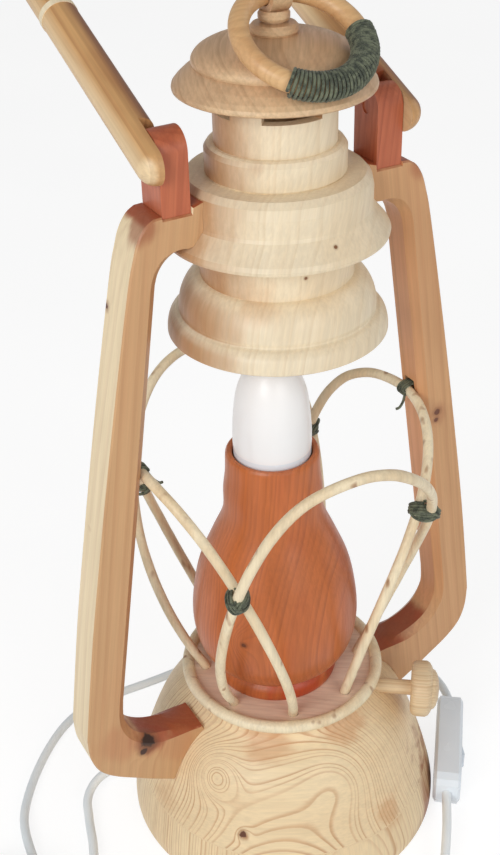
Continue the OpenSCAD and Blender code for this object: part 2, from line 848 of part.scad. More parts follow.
wrap_r = under_r + twine_r + 0.08;
wrap_rings = 16;
function wrap_point(i) =
  let (n = wrap_turns * wrap_rings,
    a = wrap_from + 1.8 + (wrap_to - wrap_from - 3.6) * i / n,
    f = 360 * i / wrap_rings, p = hoop_at(a), o = unit(p - hoop_mid))
    p + wrap_r * (cos(f) * o + sin(f) * hoop_normal);
function hoop_dir(i) =
  let (n = wrap_turns * wrap_rings,
    a = wrap_from + 1.8 + (wrap_to - wrap_from - 3.6) * i / n)
    unit(hoop_at(a + 1) - hoop_at(a - 1));
wrap_path = [for (i = [0 : wrap_turns * wrap_rings]) wrap_point(i)];

module hoop_wrap() {
  color(twine_col)
  tube(wrap_path, [for (i = [0 : wrap_turns * wrap_rings]) hoop_dir(i)], twine_r, 6);
}

// Bail, folded back

bail_r = bail_d / 2;
bail_x = ear_out + 0.5;
peg_r = 3;
lap_end = 16;
lap_t = 10.8;

module bail_frame() {
  translate([0, 0, pivot_z])
    rotate([-bail_lean, 0, 0])
      children();
}

module bail_stick(s) {
  color(cream)
  difference() {
    bail_frame()
      translate([s * bail_x, 0, 0])
        difference() {
          union() {
            translate([0, 0, -lap_end + bail_r])
              cylinder(r = bail_r, h = bail_len + lap_end - bail_r - 1.5);
            translate([0, 0, -lap_end + bail_r]) sphere(r = bail_r);
          }
          translate([-s * 10.2, 0, -30 + lap_t])
            cube([20, 40, 60], center = true);
        }
    translate([s * (ear_out - 2), 0, pivot_z])
      rotate([0, s * 90, 0]) cylinder(r = peg_r + fit, h = 9.7);
  }
}

module bail_joint_rings() {
  color([0.95, 0.88, 0.74])
  bail_frame()
    for (s = [-1, 1])
      translate([s * bail_x, 0, bail_len - 1.5])
        cylinder(r = bail_r + 0.3, h = 3);
}

module bail_bow() {
  color(cream)
  bail_frame()
    union() {
      for (s = [-1, 1]) {
        translate([s * bail_x, 0, bail_len + 1.5])
          cylinder(r = bail_r, h = bow_len - bow_corner_r - 1.5);
        translate([s * (bail_x - bow_corner_r), 0, bail_len + bow_len - bow_corner_r])
          rotate([90, 0, 0])
            rotate([0, 0, s > 0 ? 0 : 90])
              rotate_extrude(angle = 90, $fn = 96)
                translate([bow_corner_r, 0]) circle(r = bail_r, $fn = 64);
      }
      translate([0, 0, bail_len + bow_len])
        rotate([0, 90, 0])
          cylinder(r = bail_r, h = 2 * (bail_x - bow_corner_r), center = true);
    }
}

module bail_pegs() {
  color(redwood)
  for (s = [-1, 1])
    translate([s * (ear_in + 0.5), 0, pivot_z])
      rotate([0, s * 90, 0]) cylinder(r = peg_r, h = ear_t + 7);
}

// Side knob

knob_z = base_h - 7.5;
knob_in_r = base_r - 44;
knob_disc_r0 = base_r - 16;

module knob() {
  color(pine)
  rotate([0, 0, knob_angle])
    translate([0, 0, knob_z])
      rotate([0, 90, 0])
        union() {
          translate([0, 0, knob_in_r + 0.3])
            cylinder(r = knob_shaft_r, h = knob_disc_r0 - knob_in_r + 1);
          translate([0, 0, knob_disc_r0])
            rotate_extrude($fn = 96)
              polygon([
                [0, 0], [knob_r - 2.4, 0], [knob_r - 0.6, 1.2], [knob_r, 3],
                [knob_r, 6.4], [knob_r - 0.9, 8.4], [knob_r - 2.6, 9.6],
                [knob_r - 3.6, 10], [knob_r - 5.4, 12], [knob_r - 8.6, 13.4], [0, 14]
              ]);
        }
}

// Cord, switch and plug

cord_r = cord_d / 2;
relief_r = cord_r + 1.3;
relief_bore = cord_r + 0.35;
floor_z = cord_r + 0.1;

module cord_relief() {
  color(white)
  rotate([0, 0, relief_angle])
    translate([cavity_r - 4, 0, relief_z])
      rotate([0, 90, 0])
        difference() {
          union() {
            cylinder(r = relief_r, h = base_r - cavity_r + 3);
            translate([0, 0, base_r - cavity_r + 3])
              cylinder(r1 = relief_r, r2 = relief_r - 0.5, h = 12);
          }
          translate([0, 0, -1]) cylinder(r = relief_bore, h = 80);
        }
}

function out_at(r, z) = [r * cos(relief_angle), r * sin(relief_angle), z];

inner_points = [
  out_at(cavity_r - 3.5, relief_z), out_at(cavity_r - 14, relief_z), [-26, 13, 10],
  [-12, 6, 13], [column_x, column_y, 24], [column_x, column_y, 40],
  [column_x, column_y, holder_z + 5]
];

module inner_lead() {
  P = smooth(inner_points, 2);
  color(white) tube(P, [for (p = P) [0.5, 0.866, 0.02]], cord_r - 0.2, 6);
}

switch_out = base_r + 11.67;
switch_angle = -24;
switch_mid = [switch_out * cos(switch_angle), switch_out * sin(switch_angle), 11];
switch_turn = 51.6;
function on_switch(u, n, z) = [
  switch_mid[0] + u * cos(switch_turn) + n * sin(switch_turn),
  switch_mid[1] + u * sin(switch_turn) - n * cos(switch_turn), z
];

lead_points = [
  out_at(cavity_r - 3.4, relief_z), out_at(86, relief_z), out_at(96, relief_z - 0.1),
  [-92.5, 49, 6.6], [-101, 41, 4], [-107, 29, floor_z], [-113, 14, floor_z],
  [-120, -8, floor_z], [-122, -32, floor_z], [-117, -58, floor_z], [-104, -84, floor_z],
  [-82, -108, floor_z], [-52, -124, floor_z], [-20, -128, floor_z],
  [10, -120, 3.4], [34, -105, 6], [52, -85, 9.6],
  on_switch(-switch_len / 2 - 2, 0, 11), on_switch(-switch_len / 2 + 6.4, 0, 11)
];

coil_mid = [-178, -14];
coil_r = 27.5;
bundle_r = 5;
coil_z = 8.6;
coil_turns = 4.25;
coil_rings = 18;
function coil_at(t) =
  let (f = -50 - 72 * t, r = coil_r + bundle_r * cos(f))
    [coil_mid[0] + r * cos(-360 * t), coil_mid[1] + r * sin(-360 * t),
      coil_z + bundle_r * sin(f)];
coil_start = coil_at(0);
coil_end = coil_at(coil_turns);
coil_path = concat(
  [coil_start + [0, 8, 0], coil_start + [0, 3, 0]],
  [for (i = [0 : floor(coil_turns * coil_rings)]) coil_at(i / coil_rings)],
  [coil_end + [-5, 0, 0], coil_end + [-12, 0, 0]]
);

tail_points = [
  on_switch(switch_len / 2 - 6.4, 0, 11), on_switch(switch_len / 2 + 2, 0, 11),
  [116, 6, 9], [118, 26, 5.4], [114, 50, 3], [100, 76, floor_z], [76, 95, floor_z],
  [46, 104, floor_z], [10, 106, floor_z], [-30, 106, floor_z], [-66, 107, floor_z],
  [-90, 101, floor_z], [-112, 84, floor_z], [-132, 60, floor_z],
  [-143, 38, 3], coil_start + [0, 20, -1.2], coil_start + [0, 8.05, 0]
];

module cord_lead() {
  P = smooth(lead_points, 2);
  color(white) tube(P, [for (p = P) [0.02, 0.01, 1]], cord_r, 8);
}

module cord_tail() {
  P = smooth(tail_points, 2);
  color(white) tube(P, [for (p = P) [0.02, 0.01, 1]], cord_r, 8);
}

module cord_coil() {
  color(white) tube(coil_path, [for (p = coil_path) [0, 0, 1]], cord_r, 6);
}

module coil_tie() {
  color(white)
  translate([coil_mid[0] - coil_r, coil_mid[1], coil_z])
    rotate([90, 0, 0])
      rotate_extrude($fn = 64)
        translate([bundle_r + cord_r + 0.55, 0]) circle(r = 0.4, $fn = 16);
}

module switch_frame() {
  translate([switch_mid[0], switch_mid[1], switch_mid[2]])
    rotate([0, 0, switch_turn])
      rotate([90, 0, 0])
        children();
}

half_t = switch_t / 2;

module switch_outline(inset) {
  L = switch_len / 2 - inset;
  H = switch_h / 2 - inset;
  polygon([
    [-L, -H + 5.4], [-L + 1.6, -H + 1.8], [-L + 5.4, -H], [L - 5.4, -H],
    [L - 1.6, -H + 1.8], [L, -H + 5.4], [L, H - 5.4], [L - 1.6, H - 1.8],
    [L - 5.4, H], [-L + 5.4, H], [-L + 1.6, H - 1.8], [-L, H - 5.4]
  ]);
}

module switch_half() {
  hull() {
    linear_extrude(half_t - 1.6) switch_outline(0);
    linear_extrude(half_t) switch_outline(1.6);
  }
}

module switch_cord_bore() {
  for (s = [-1, 1])
    translate([s * (switch_len / 2 - 8), 0, 0])
      rotate([0, s * 90, 0]) cylinder(r = cord_r + 0.06, h = 20);
}

rocker_n = 2.5;
window_u = 10.7;
window_z = 5;

module switch_front() {
  color(white)
  switch_frame()
    difference() {
      switch_half();
      translate([-window_u, -window_z, -1]) cube([2 * window_u, 2 * window_z, 20]);
      translate([0, 0, rocker_n])
        rotate([90, 0, 0]) cylinder(r = 1.25, h = 15.6, center = true, $fn = 32);
      switch_cord_bore();
      for (s = [-1, 1])
        translate([s * 20, 0, -1]) cylinder(r = 1.25 + fit, h = 5.1, $fn = 32);
    }
}

module switch_back() {
  color(white)
  switch_frame()
    difference() {
      mirror([0, 0, 1]) switch_half();
      translate([-window_u, -window_z, -2]) cube([2 * window_u, 2 * window_z, 20]);
      switch_cord_bore();
      for (s = [-1, 1])
        translate([s * 20, 0, 0]) {
          cylinder(r = 1.5, h = 30, center = true, $fn = 32);
          translate([0, 0, -half_t - 1]) cylinder(r = 2.5, h = 3, $fn = 32);
        }
    }
}

module switch_screws() {
  color(metal)
  switch_frame()
    for (s = [-1, 1])
      translate([s * 20, 0, -half_t + 2])
        union() {
          translate([0, 0, -0.2]) cylinder(r = 1.25, h = half_t + 2.1, $fn = 32);
          translate([0, 0, -1.6]) cylinder(r = 2.3, h = 1.6, $fn = 32);
        }
}

module switch_rocker() {
  color(white)
  switch_frame()
    translate([0, 0, rocker_n])
      rotate([0, 6, 0])
        union() {
          rotate([90, 0, 0])
            linear_extrude(2 * window_z - 0.6, center = true)
              polygon([
                [-9.6, -1.4], [9.6, -1.4], [9.6, 5.4], [8.6, 5.9], [0, 4.6],
                [-8.6, 5.9], [-9.6, 5.4]
              ]);
          rotate([90, 0, 0]) cylinder(r = 1.2, h = 15.2, center = true, $fn = 32);
        }
}

plug_len = 34;

module plug_frame() {
  translate([coil_end[0] - 12.05, coil_end[1], coil_end[2]])
    rotate([0, -90, 0])
      children();
}

module plug_body() {
  color(white)
  plug_frame()
    difference() {
      union() {
        cylinder(r1 = cord_r + 1, r2 = cord_r + 1.8, h = 10);
        hull() {
          translate([0, 0, 9.5]) scale([1, 1, 1]) cylinder(r = 5.4, h = 1, $fn = 32);
          for (s = [-1, 1])
            translate([0, s * 9, 20]) cylinder(r = 8, h = plug_len - 20, $fn = 32);
        }
      }
      translate([0, 0, -1]) cylinder(r = cord_r - 0.4, h = 6);
      for (s = [-1, 1])
        translate([0, s * 9.5, plug_len - 8]) cylinder(r = 2 + fit, h = 10, $fn = 32);
    }
}

module plug_pins() {
  color(metal)
  plug_frame()
    for (s = [-1, 1])
      translate([0, s * 9.5, plug_len - 7.9]) cylinder(r = 2, h = 26.9, $fn = 32);
}

echo(wrap_gap = least_gap(wrap_path, twine_d, 8));
echo(coil_gap = least_gap(coil_path, cord_d, 12));
echo(tie_gap = least_gap(arm_tie_path(arch_left, -1), twine_d, 8));

base();
base_plate();
base_screws();
deck_plate();
gallery_ring();
guard_arch(arch_front, -90);  // guard_arch_front
guard_arch(arch_back, 90);  // guard_arch_back
guard_arch(arch_left, 180);  // guard_arch_left
guard_arch(arch_right, 0);  // guard_arch_right
crossing_ties();
arm_tie(arch_left, -1);  // arm_tie_left
arm_tie(arch_right, 1);  // arm_tie_right
tie_pins();
chimney_vase();
threaded_tube();
tube_nuts();
tube_washer();
holder_sleeve();
holder_core();
screw_shell();
centre_contact();
bulb_cap();
bulb_housing();
bulb_globe();
arm(arch_left, -1);  // left_arm
arm(arch_right, 1);  // right_arm
arm_dowels();
ear(-1);  // left_ear
ear(1);  // right_ear
ear_dowels();
hood_bell();
hood_flange();
hood_ring();
hood_neck();
cap_brim();
cap_dome();
finial();
hoop_ring();
hoop_underwrap();
hoop_wrap();
bail_stick(-1);  // bail_left_stick
bail_stick(1);  // bail_right_stick
bail_joint_rings();
bail_bow();
bail_pegs();
knob();
cord_relief();
inner_lead();
cord_lead();
cord_tail();
cord_coil();
coil_tie();
switch_front();
switch_back();
switch_screws();
switch_rocker();
plug_body();
plug_pins();
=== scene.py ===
import math

import bmesh
import bpy
from mathutils import Matrix, Vector, noise


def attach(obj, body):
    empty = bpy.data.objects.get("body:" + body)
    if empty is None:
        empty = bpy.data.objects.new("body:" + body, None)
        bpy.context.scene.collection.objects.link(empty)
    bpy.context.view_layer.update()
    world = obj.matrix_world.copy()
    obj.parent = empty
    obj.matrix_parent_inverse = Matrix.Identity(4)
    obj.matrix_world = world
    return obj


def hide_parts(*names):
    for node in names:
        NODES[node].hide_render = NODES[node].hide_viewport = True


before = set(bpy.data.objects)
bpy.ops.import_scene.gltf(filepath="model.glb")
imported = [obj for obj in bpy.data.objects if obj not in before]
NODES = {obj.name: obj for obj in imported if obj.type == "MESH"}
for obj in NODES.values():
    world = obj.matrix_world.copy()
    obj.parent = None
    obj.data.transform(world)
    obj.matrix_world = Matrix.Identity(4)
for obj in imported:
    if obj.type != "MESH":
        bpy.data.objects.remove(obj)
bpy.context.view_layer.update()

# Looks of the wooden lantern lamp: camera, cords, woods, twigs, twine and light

MM = 0.001


def mm(*xyz):
    """A point given in millimetres."""
    return Vector(xyz) * MM


def link(name, data):
    """New object in the scene with this mesh, curve, camera or light."""
    made = bpy.data.objects.new(name, data)
    bpy.context.collection.objects.link(made)
    return made


# Camera, as fitted to the round edges of the hood, the ring and the base
PHOTO_H = 855
FOCAL_PX = 1259.1
SENSOR_MM = 36
CLIP_START = 0.01
CAM_AZIMUTH, CAM_ELEVATION, CAM_YAW, CAM_ROLL = -30, 32.22, 1.56, -1.54
CAM_DISTANCE, CAM_TARGET_Z = 598.47, 237.3


def make_camera():
    elevation = math.radians(CAM_ELEVATION)
    back = Vector((0, -math.cos(elevation), math.sin(elevation)))
    place = mm(0, 0, CAM_TARGET_Z) + CAM_DISTANCE * MM * back
    ahead = Matrix.Rotation(math.radians(CAM_YAW), 3, "Z") @ -back
    right = ahead.cross(Vector((0, 0, 1))).normalized()
    up = right.cross(ahead)
    roll = math.radians(CAM_ROLL)
    right, up = (
        math.cos(roll) * right + math.sin(roll) * up,
        math.cos(roll) * up - math.sin(roll) * right,
    )
    axes = Matrix((right, up, -ahead)).transposed()
    turn = Matrix.Rotation(math.radians(CAM_AZIMUTH), 4, "Z")
    data = bpy.data.cameras.new("photo_camera")
    data.sensor_width = SENSOR_MM
    data.lens = FOCAL_PX * SENSOR_MM / PHOTO_H
    data.clip_start = CLIP_START
    camera = link("photo_camera", data)
    camera.matrix_world = turn @ Matrix.Translation(place) @ axes.to_4x4()
    bpy.context.scene.camera = camera


make_camera()

# Curves and tubes

# A direction that no path starts along
SIDE_HINT = (0.3, 0.2, 1)


def smooth(points, steps):
    """Catmull-Rom curve through given points."""
    out = []
    last = len(points) - 1
    for i in range(last):
        a, b = points[max(i - 1, 0)], points[i]
        c, d = points[i + 1], points[min(i + 2, last)]
        for k in range(steps):
            t = k / steps
            bend = (2 * a - 5 * b + 4 * c - d) * t * t + (3 * b - a - 3 * c + d) * t**3
            out.append(0.5 * (2 * b + (c - a) * t + bend))
    out.append(points[last].copy())
    return out


def frames_along(path, hint):
    """Two vectors across the path at each point, carried along without twist."""
    last = len(path) - 1
    side = Vector(hint)
    out = []
    for i in range(last + 1):
        ahead = (path[min(i + 1, last)] - path[max(i - 1, 0)]).normalized()
        side = (side - side.dot(ahead) * ahead).normalized()
        out.append((side, ahead.cross(side)))
    return out


def tube_mesh(name, path, radius_at, sides):
    """Tube along path; radius_at(ring, angle) gives each corner's radius."""
    verts, faces = [], []
    count = len(path)
    for i, (a, b) in enumerate(frames_along(path, SIDE_HINT)):
        for k in range(sides):
            angle = 2 * math.pi * k / sides
            r = radius_at(i, angle)
            verts.append(path[i] + r * (math.cos(angle) * a + math.sin(angle) * b))
    for i in range(count - 1):
        for k in range(sides):
            j = (k + 1) % sides
            faces.append(
                (i * sides + k, i * sides + j, (i + 1) * sides + j, (i + 1) * sides + k)
            )
    faces.append(tuple(reversed(range(sides))))
    faces.append(tuple(range((count - 1) * sides, count * sides)))
    mesh = bpy.data.meshes.new(name)
    mesh.from_pydata(verts, [], faces)
    mesh.shade_smooth()
    return link(name, mesh)


def dress(piece, material, body="lamp", replaces=()):
    """Gives a new piece its finish, its body and the nodes it stands for."""
    piece.data.materials.append(material)
    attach(piece, body)
    if replaces:
        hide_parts(*replaces)
    return piece


# Materials


def srgb(r, g, b):
    """Linear colour of an sRGB colour given from 0 to 255."""
    out = []
    for c in (r / 255, g / 255, b / 255):
        out.append(c / 12.92 if c <= 0.04045 else ((c + 0.055) / 1.055) ** 2.4)
    return (*out, 1)


class Shading:
    """Short calls for the nodes of a material or a world, whose own nodes go."""

    def __init__(self, owner):
        owner.use_nodes = True
        self.owner = owner
        self.tree = owner.node_tree
        self.tree.nodes.clear()

    def node(self, kind, inputs, out=0, **settings):
        n = self.tree.nodes.new("ShaderNode" + kind)
        for key, value in settings.items():
            setattr(n, key, value)
        for key, value in inputs.items():
            if isinstance(value, bpy.types.NodeSocket):
                self.tree.links.new(value, n.inputs[key])
            else:
                n.inputs[key].default_value = value
        return n.outputs[out]

    def math(self, operation, a, b=0.0):
        return self.node("Math", {0: a, 1: b}, operation=operation)

    def vector(self, operation, a, b=(0, 0, 0), out=0):
        return self.node("VectorMath", {0: a, 1: b}, out, operation=operation)

    def place(self):
        """The point in the row frame, in metres."""
        return self.node("TexCoord", {}, 3)

    def stretched(self, where, scale):
        return self.node("Mapping", {0: where, 3: scale})

    def noise(self, where, scale, detail=2.0, rough=0.5, out=0):
        inputs = {"Vector": where, "Scale": scale, "Detail": detail, "Roughness": rough}
        return self.node("TexNoise", inputs, out)

    def span(self, value, low, high, to_low=0.0, to_high=1.0):
        """Value from low to high, carried over to another span and kept inside it."""
        inputs = {0: value, 1: low, 2: high, 3: to_low, 4: to_high}
        return self.node("MapRange", inputs, interpolation_type="SMOOTHSTEP")

    def mix(self, share, a, b, blend="MIX"):
        inputs = {0: share, 6: a, 7: b}
        return self.node("Mix", inputs, 2, data_type="RGBA", blend_type=blend)

    def mix_vector(self, share, a, b):
        return self.node("Mix", {0: share, 4: a, 5: b}, 1, data_type="VECTOR")

    def scatter(self, value, reach):
        """Noise from 0 to 1 made into a push of up to half of reach each way."""
        return self.math("MULTIPLY", self.math("SUBTRACT", value, 0.5), reach)

    def radii(self, where, point, radius):
        """Distance from a point given in millimetres, counted in radii."""
        far = self.vector("DISTANCE", where, [c * MM for c in point], 1)
        return self.math("DIVIDE", far, radius * MM)

    def near(self, where, point, radius):
        """1 at a point, falling to 0 about two radii away."""
        share = self.radii(where, point, radius)
        return self.math("EXPONENT", self.math("MULTIPLY", self.math("MULTIPLY", share, share), -1))

    def shaded(self, colour, shade):
        """The colour times one grey."""
        grey = self.node("CombineColor", {0: shade, 1: shade, 2: shade})
        return self.mix(1.0, colour, grey, "MULTIPLY")

    def ray(self, kind):
        """1 for rays of a kind such as Is Camera Ray, otherwise 0."""
        return self.node("LightPath", {}, kind)

    def close(self, colour, rough, height, depth, **more):
        """Ends the material with one surface and its bump, depth millimetres deep."""
        bump = self.node("Bump", {"Height": height, "Distance": depth * MM, "Strength": 1.0})
        inputs = {"Base Color": colour, "Roughness": rough, "Normal": bump}
        for key, value in more.items():
            inputs[key.replace("_", " ")] = value
        return self.end(self.node("BsdfPrincipled", inputs))

    def end(self, shader, kind="OutputMaterial"):
        n = self.tree.nodes.new("ShaderNode" + kind)
        self.tree.links.new(shader, n.inputs[0])
        return self.owner


def new_material(name):
    """A new material, ready for its nodes."""
    return Shading(bpy.data.materials.new(name))


# How often noise turns in a metre, across the wood and along it
BREAKS = (60, 60, 10)
STREAKS = (110, 110, 5)
COARSE_FIBRES = (260, 260, 7)
FINE_FIBRES = (900, 900, 22)
SWAY_SCALE, RIPPLE_SCALE, RAGGED_SCALE, JOINT_SCALE = 22.0, 420.0, 90.0, 18.0

# Lengths in millimetres
JOINT_WAVE, JOINT_BLUR, WOOD_BUMP = 5, 0.8, 0.06

# How uneven the years are, how pale the palest is, and where in a year its dark wood ends
YEAR_SCALE, YEAR_SPREAD, PALEST, YEAR_END = 0.35, 2.6, 0.35, 0.9

# Knots, in their radii: how far and how much the rings bend, the dark core, the halo
KNOT_REACH, KNOT_PUSH = 2.2, 1.6
CORE, HALO, HALO_SHARE = (0.75, 1.15), (0.9, 2.3), 0.55

# Spans of noise over which one look gives way to the next
GAPS, PATCHES, STAIN_AND_SHADE_SPAN = (0.25, 0.7), (0.42, 0.68), (0.25, 0.75)
THREADS, SHINE = (0.32, 0.68), (0.3, 0.7)


def wood(
    name,
    light,
    dark,
    pith=(0, 0, 0),
    along=(0, 0, 1),
    spacing=2.0,
    rings=0.7,
    warp=3.0,
    stretch=0.25,
    dents=(),
    knots=(),
    patch=None,
    layer=None,
    fibre=0.12,
    rough=0.5,
    specks=None,
    coat=0.0,
    sides=(),
    stains_and_shade=(),
    line=(0.25, 0.86),
):
    """Sawn or turned wood: growth rings round a pith line, fibres, knots and patches.

    Lengths and points are in millimetres. dents are (point, radius, push) that bend
    the rings, knots are (point, radius, colour), patch is (colour, share, size),
    layer is (height, pith, along) below which the wood is another board, and specks
    are (colour, share, size). sides are (direction, from, to, colour) for faces that
    look that way; on most pieces they are painted light and painted shade, by how a
    face is turned. stains_and_shade are (point, radius, share, colour): stained
    patches, and on some pieces patches of painted shade. line is where in a year the
    dark wood is.
    """
    g = new_material(name)
    where = g.place()

    def board(pith, along):
        turn = Vector(along).normalized().to_track_quat("Z", "Y").to_euler()
        at = [c * MM for c in pith]
        return g.node("Mapping", {0: where, 1: at, 2: tuple(turn)}, vector_type="TEXTURE")

    local = board(pith, along)
    if layer:
        height, low_pith, low_along = layer
        wavy = g.math("MULTIPLY", g.noise(where, JOINT_SCALE), JOINT_WAVE * MM)
        level = g.math("ADD", g.node("SeparateXYZ", {0: where}, 2), wavy)
        below = g.span(level, height * MM, (height + JOINT_BLUR) * MM, 1.0, 0.0)
        local = g.mix_vector(below, local, board(low_pith, low_along))
    slow = g.stretched(local, (1, 1, stretch))
    sway = g.vector("SUBTRACT", g.noise(slow, SWAY_SCALE, 2.0, 0.5, 1), (0.5, 0.5, 0.5))
    bent = g.vector("ADD", local, g.vector("MULTIPLY", sway, (warp * 2 * MM,) * 3))
    flat = g.vector("MULTIPLY", bent, (1, 1, 0))
    radius = g.vector("LENGTH", flat, out=1)
    for point, size, push in dents:
        bulge = g.math("MULTIPLY", g.near(where, point, size), push * MM)
        radius = g.math("ADD", radius, bulge)
    for point, size, _ in knots:
        close = g.near(where, point, size * KNOT_REACH)
        bulge = g.math("MULTIPLY", close, size * KNOT_PUSH * MM)
        radius = g.math("ADD", radius, bulge)
    count = g.math("DIVIDE", radius, spacing * MM)
    years = g.node("CombineXYZ", {0: count})
    uneven = g.math("MULTIPLY", g.noise(years, YEAR_SCALE, 1.0), YEAR_SPREAD)
    count = g.math("ADD", count, uneven)
    year = g.math("FLOOR", count)
    phase = g.math("FRACT", count)
    rise = g.span(phase, *line)
    fall = g.span(phase, YEAR_END, 1.0, 1.0, 0.0)
    strength = g.node("TexWhiteNoise", {"W": year}, 0, noise_dimensions="1D")
    strength = g.span(strength, 0.0, 1.0, PALEST, 1.0)
    late = g.math("MULTIPLY", g.math("MULTIPLY", rise, fall), strength)
    broken = g.noise(g.stretched(local, BREAKS), 1.0, 3.0)
    late = g.math("MULTIPLY", late, g.span(broken, *GAPS, 0.55, 1.0))

    colour = g.mix(g.math("MULTIPLY", late, rings), srgb(*light), srgb(*dark))
    if patch:
        tint, share, size = patch
        cloud = g.noise(g.stretched(local, (1, 1, 0.35)), 1000 / size, 3.0, 0.6)
        colour = g.mix(g.span(cloud, *PATCHES, 0.0, share), colour, srgb(*tint))
    facing = g.node("TexCoord", {}, 1)
    streaks = g.scatter(g.noise(g.stretched(local, STREAKS), 1.0, 3.0, 0.6), 0.3)
    # Faces turned one way take another tint: painted light and painted shade on most pieces
    for towards, start, end, tint in sides:
        turned = g.vector("DOT_PRODUCT", facing, Vector(towards).normalized(), 1)
        veined = g.mix(g.math("MULTIPLY", late, rings * 0.5), srgb(*tint), srgb(*dark))
        colour = g.mix(g.span(g.math("ADD", turned, streaks), start, end), colour, veined)
    ragged = g.scatter(g.noise(slow, RAGGED_SCALE, 3.0, 0.6), 1.4)
    # Patches round points: stained patches, and on some pieces painted shade
    for point, size, share, tint in stains_and_shade:
        soft = g.math("ADD", g.near(where, point, size), ragged)
        colour = g.mix(g.span(soft, *STAIN_AND_SHADE_SPAN, 0.0, share), colour, srgb(*tint))
    fine = g.noise(g.stretched(local, FINE_FIBRES), 1.0, 3.0, 0.6)
    coarse = g.noise(g.stretched(local, COARSE_FIBRES), 1.0, 2.0, 0.5)
    threads = g.math("ADD", g.math("MULTIPLY", fine, 0.6), g.math("MULTIPLY", coarse, 0.4))
    colour = g.shaded(colour, g.span(threads, *THREADS, 1.0 - fibre * 2, 1.0 + fibre * 0.4))
    if specks:
        tint, share, size = specks
        spots = g.noise(g.stretched(local, (1, 1, 0.45)), 1000 / size, 1.0, 0.4)
        colour = g.mix(g.span(spots, 0.70 - share * 0.1, 0.76, 0.0, 0.8), colour, srgb(*tint))
    height = g.math("SUBTRACT", g.math("MULTIPLY", threads, 0.8), g.math("MULTIPLY", late, 0.5))
    ripple = g.scatter(g.noise(where, RIPPLE_SCALE, 2.0), 0.9)
    for point, size, tint in knots:
        far = g.math("ADD", g.radii(where, point, size), ripple)
        core = g.span(far, *CORE, 1.0, 0.0)
        halo = g.span(far, *HALO, HALO_SHARE, 0.0)
        around = tuple(int(0.6 * a + 0.4 * b) for a, b in zip(dark, tint))
        colour = g.mix(halo, colour, srgb(*around))
        colour = g.mix(core, colour, srgb(*tint))
        height = g.math("SUBTRACT", height, g.math("MULTIPLY", core, 0.8))
    gloss = g.span(threads, *SHINE, rough + 0.08, rough - 0.06)
    return g.close(colour, gloss, height, WOOD_BUMP, Coat_Weight=coat, Coat_Roughness=0.25)


def plain(name, colour, rough, grain=0.05, scale=900.0, depth=0.01, **more):
    """Moulded, metal or glass surface with a little unevenness of its own."""
    g = new_material(name)
    where = g.place()
    spots = g.noise(where, scale, 2.0)
    cloud = g.noise(where, 60.0, 2.0)
    tint = g.shaded(srgb(*colour), g.span(cloud, 0.3, 0.7, 1.0 - grain, 1.0))
    gloss = g.span(cloud, 0.3, 0.7, rough - 0.04, rough + 0.05)
    return g.close(tint, gloss, spots, depth, **more)


def twine_finish():
    g = new_material("waxed_twine")
    where = g.place()
    hairs = g.noise(where, 2600.0, 3.0, 0.7)
    tone = g.noise(where, 420.0, 2.0)
    colour = g.mix(g.span(tone, 0.35, 0.65), srgb(48, 56, 44), srgb(104, 110, 88))
    colour = g.mix(g.span(hairs, 0.5, 0.72, 0.0, 0.6), colour, srgb(150, 152, 126))
    return g.close(colour, 0.7, hairs, 0.12, Sheen_Weight=0.15)


def cord_finish():
    g = new_material("white_cord")
    where = g.place()
    spots = g.noise(where, 700.0, 2.0)
    cloud = g.noise(where, 40.0, 2.0)
    colour = g.mix(g.span(cloud, 0.35, 0.65), srgb(242, 248, 251), srgb(250, 254, 255))
    return g.close(colour, g.span(cloud, 0.3, 0.7, 0.38, 0.5), spots, 0.02)


# Cords, in metres: the routes of the CAD solids, point by point. Only the lead's turn
# at the exit is wider than the CAD's, and lies within 3 mm of it.

CORD_D = 0.005
FLOOR_Z = 0.0026  # of the cord's middle
EXIT_R = 0.086
RELIEF_ANGLE = math.radians(150)
RELIEF_Z = 0.009
SWITCH_ANGLE = math.radians(-24)
SWITCH_OUT = 0.09567
SWITCH_TURN = math.radians(51.6)
SWITCH_Z = 0.011
SWITCH_CORD, SWITCH_MOUTH = 0.0276, 0.036


def out_at(r, z):
    """A point r from the middle, on the side where the cord leaves the base."""
    return Vector((r * math.cos(RELIEF_ANGLE), r * math.sin(RELIEF_ANGLE), z))


def on_switch(along):
    """A point on the switch's long axis, counted from its middle."""
    x = SWITCH_OUT * math.cos(SWITCH_ANGLE) + along * math.cos(SWITCH_TURN)
    y = SWITCH_OUT * math.sin(SWITCH_ANGLE) + along * math.sin(SWITCH_TURN)
    return Vector((x, y, SWITCH_Z))


CORD_EXIT = out_at(EXIT_R, RELIEF_Z)
BEND_R = 0.021
BEND_OUT = 0.003
BEND_STEP = math.radians(9)
BEND_STEPS = 11
DROP = 0.056


def lead_z(along):
    """Height of the lead's middle on its way down from the exit to the floor."""
    share = min(along / DROP, 1.0)
    return FLOOR_Z + (RELIEF_Z - FLOOR_Z) * (1 + math.cos(math.pi * share)) / 2


def lead_bend():
    """The lead's turn to the front, evenly wide, within 3 mm of the CAD route."""
    start = out_at(EXIT_R + BEND_OUT, 0)
    middle = start + BEND_R * Vector((-math.sin(RELIEF_ANGLE), math.cos(RELIEF_ANGLE), 0))
    points = []
    for i in range(BEND_STEPS + 1):
        turned = BEND_STEP * i
        a = RELIEF_ANGLE - math.pi / 2 + turned
        z = lead_z(BEND_OUT + BEND_R * turned)
        points.append(middle + Vector((BEND_R * math.cos(a), BEND_R * math.sin(a), z)))
    return points


def on_floor(*spots):
    return [Vector((x, y, FLOOR_Z)) for x, y in spots]


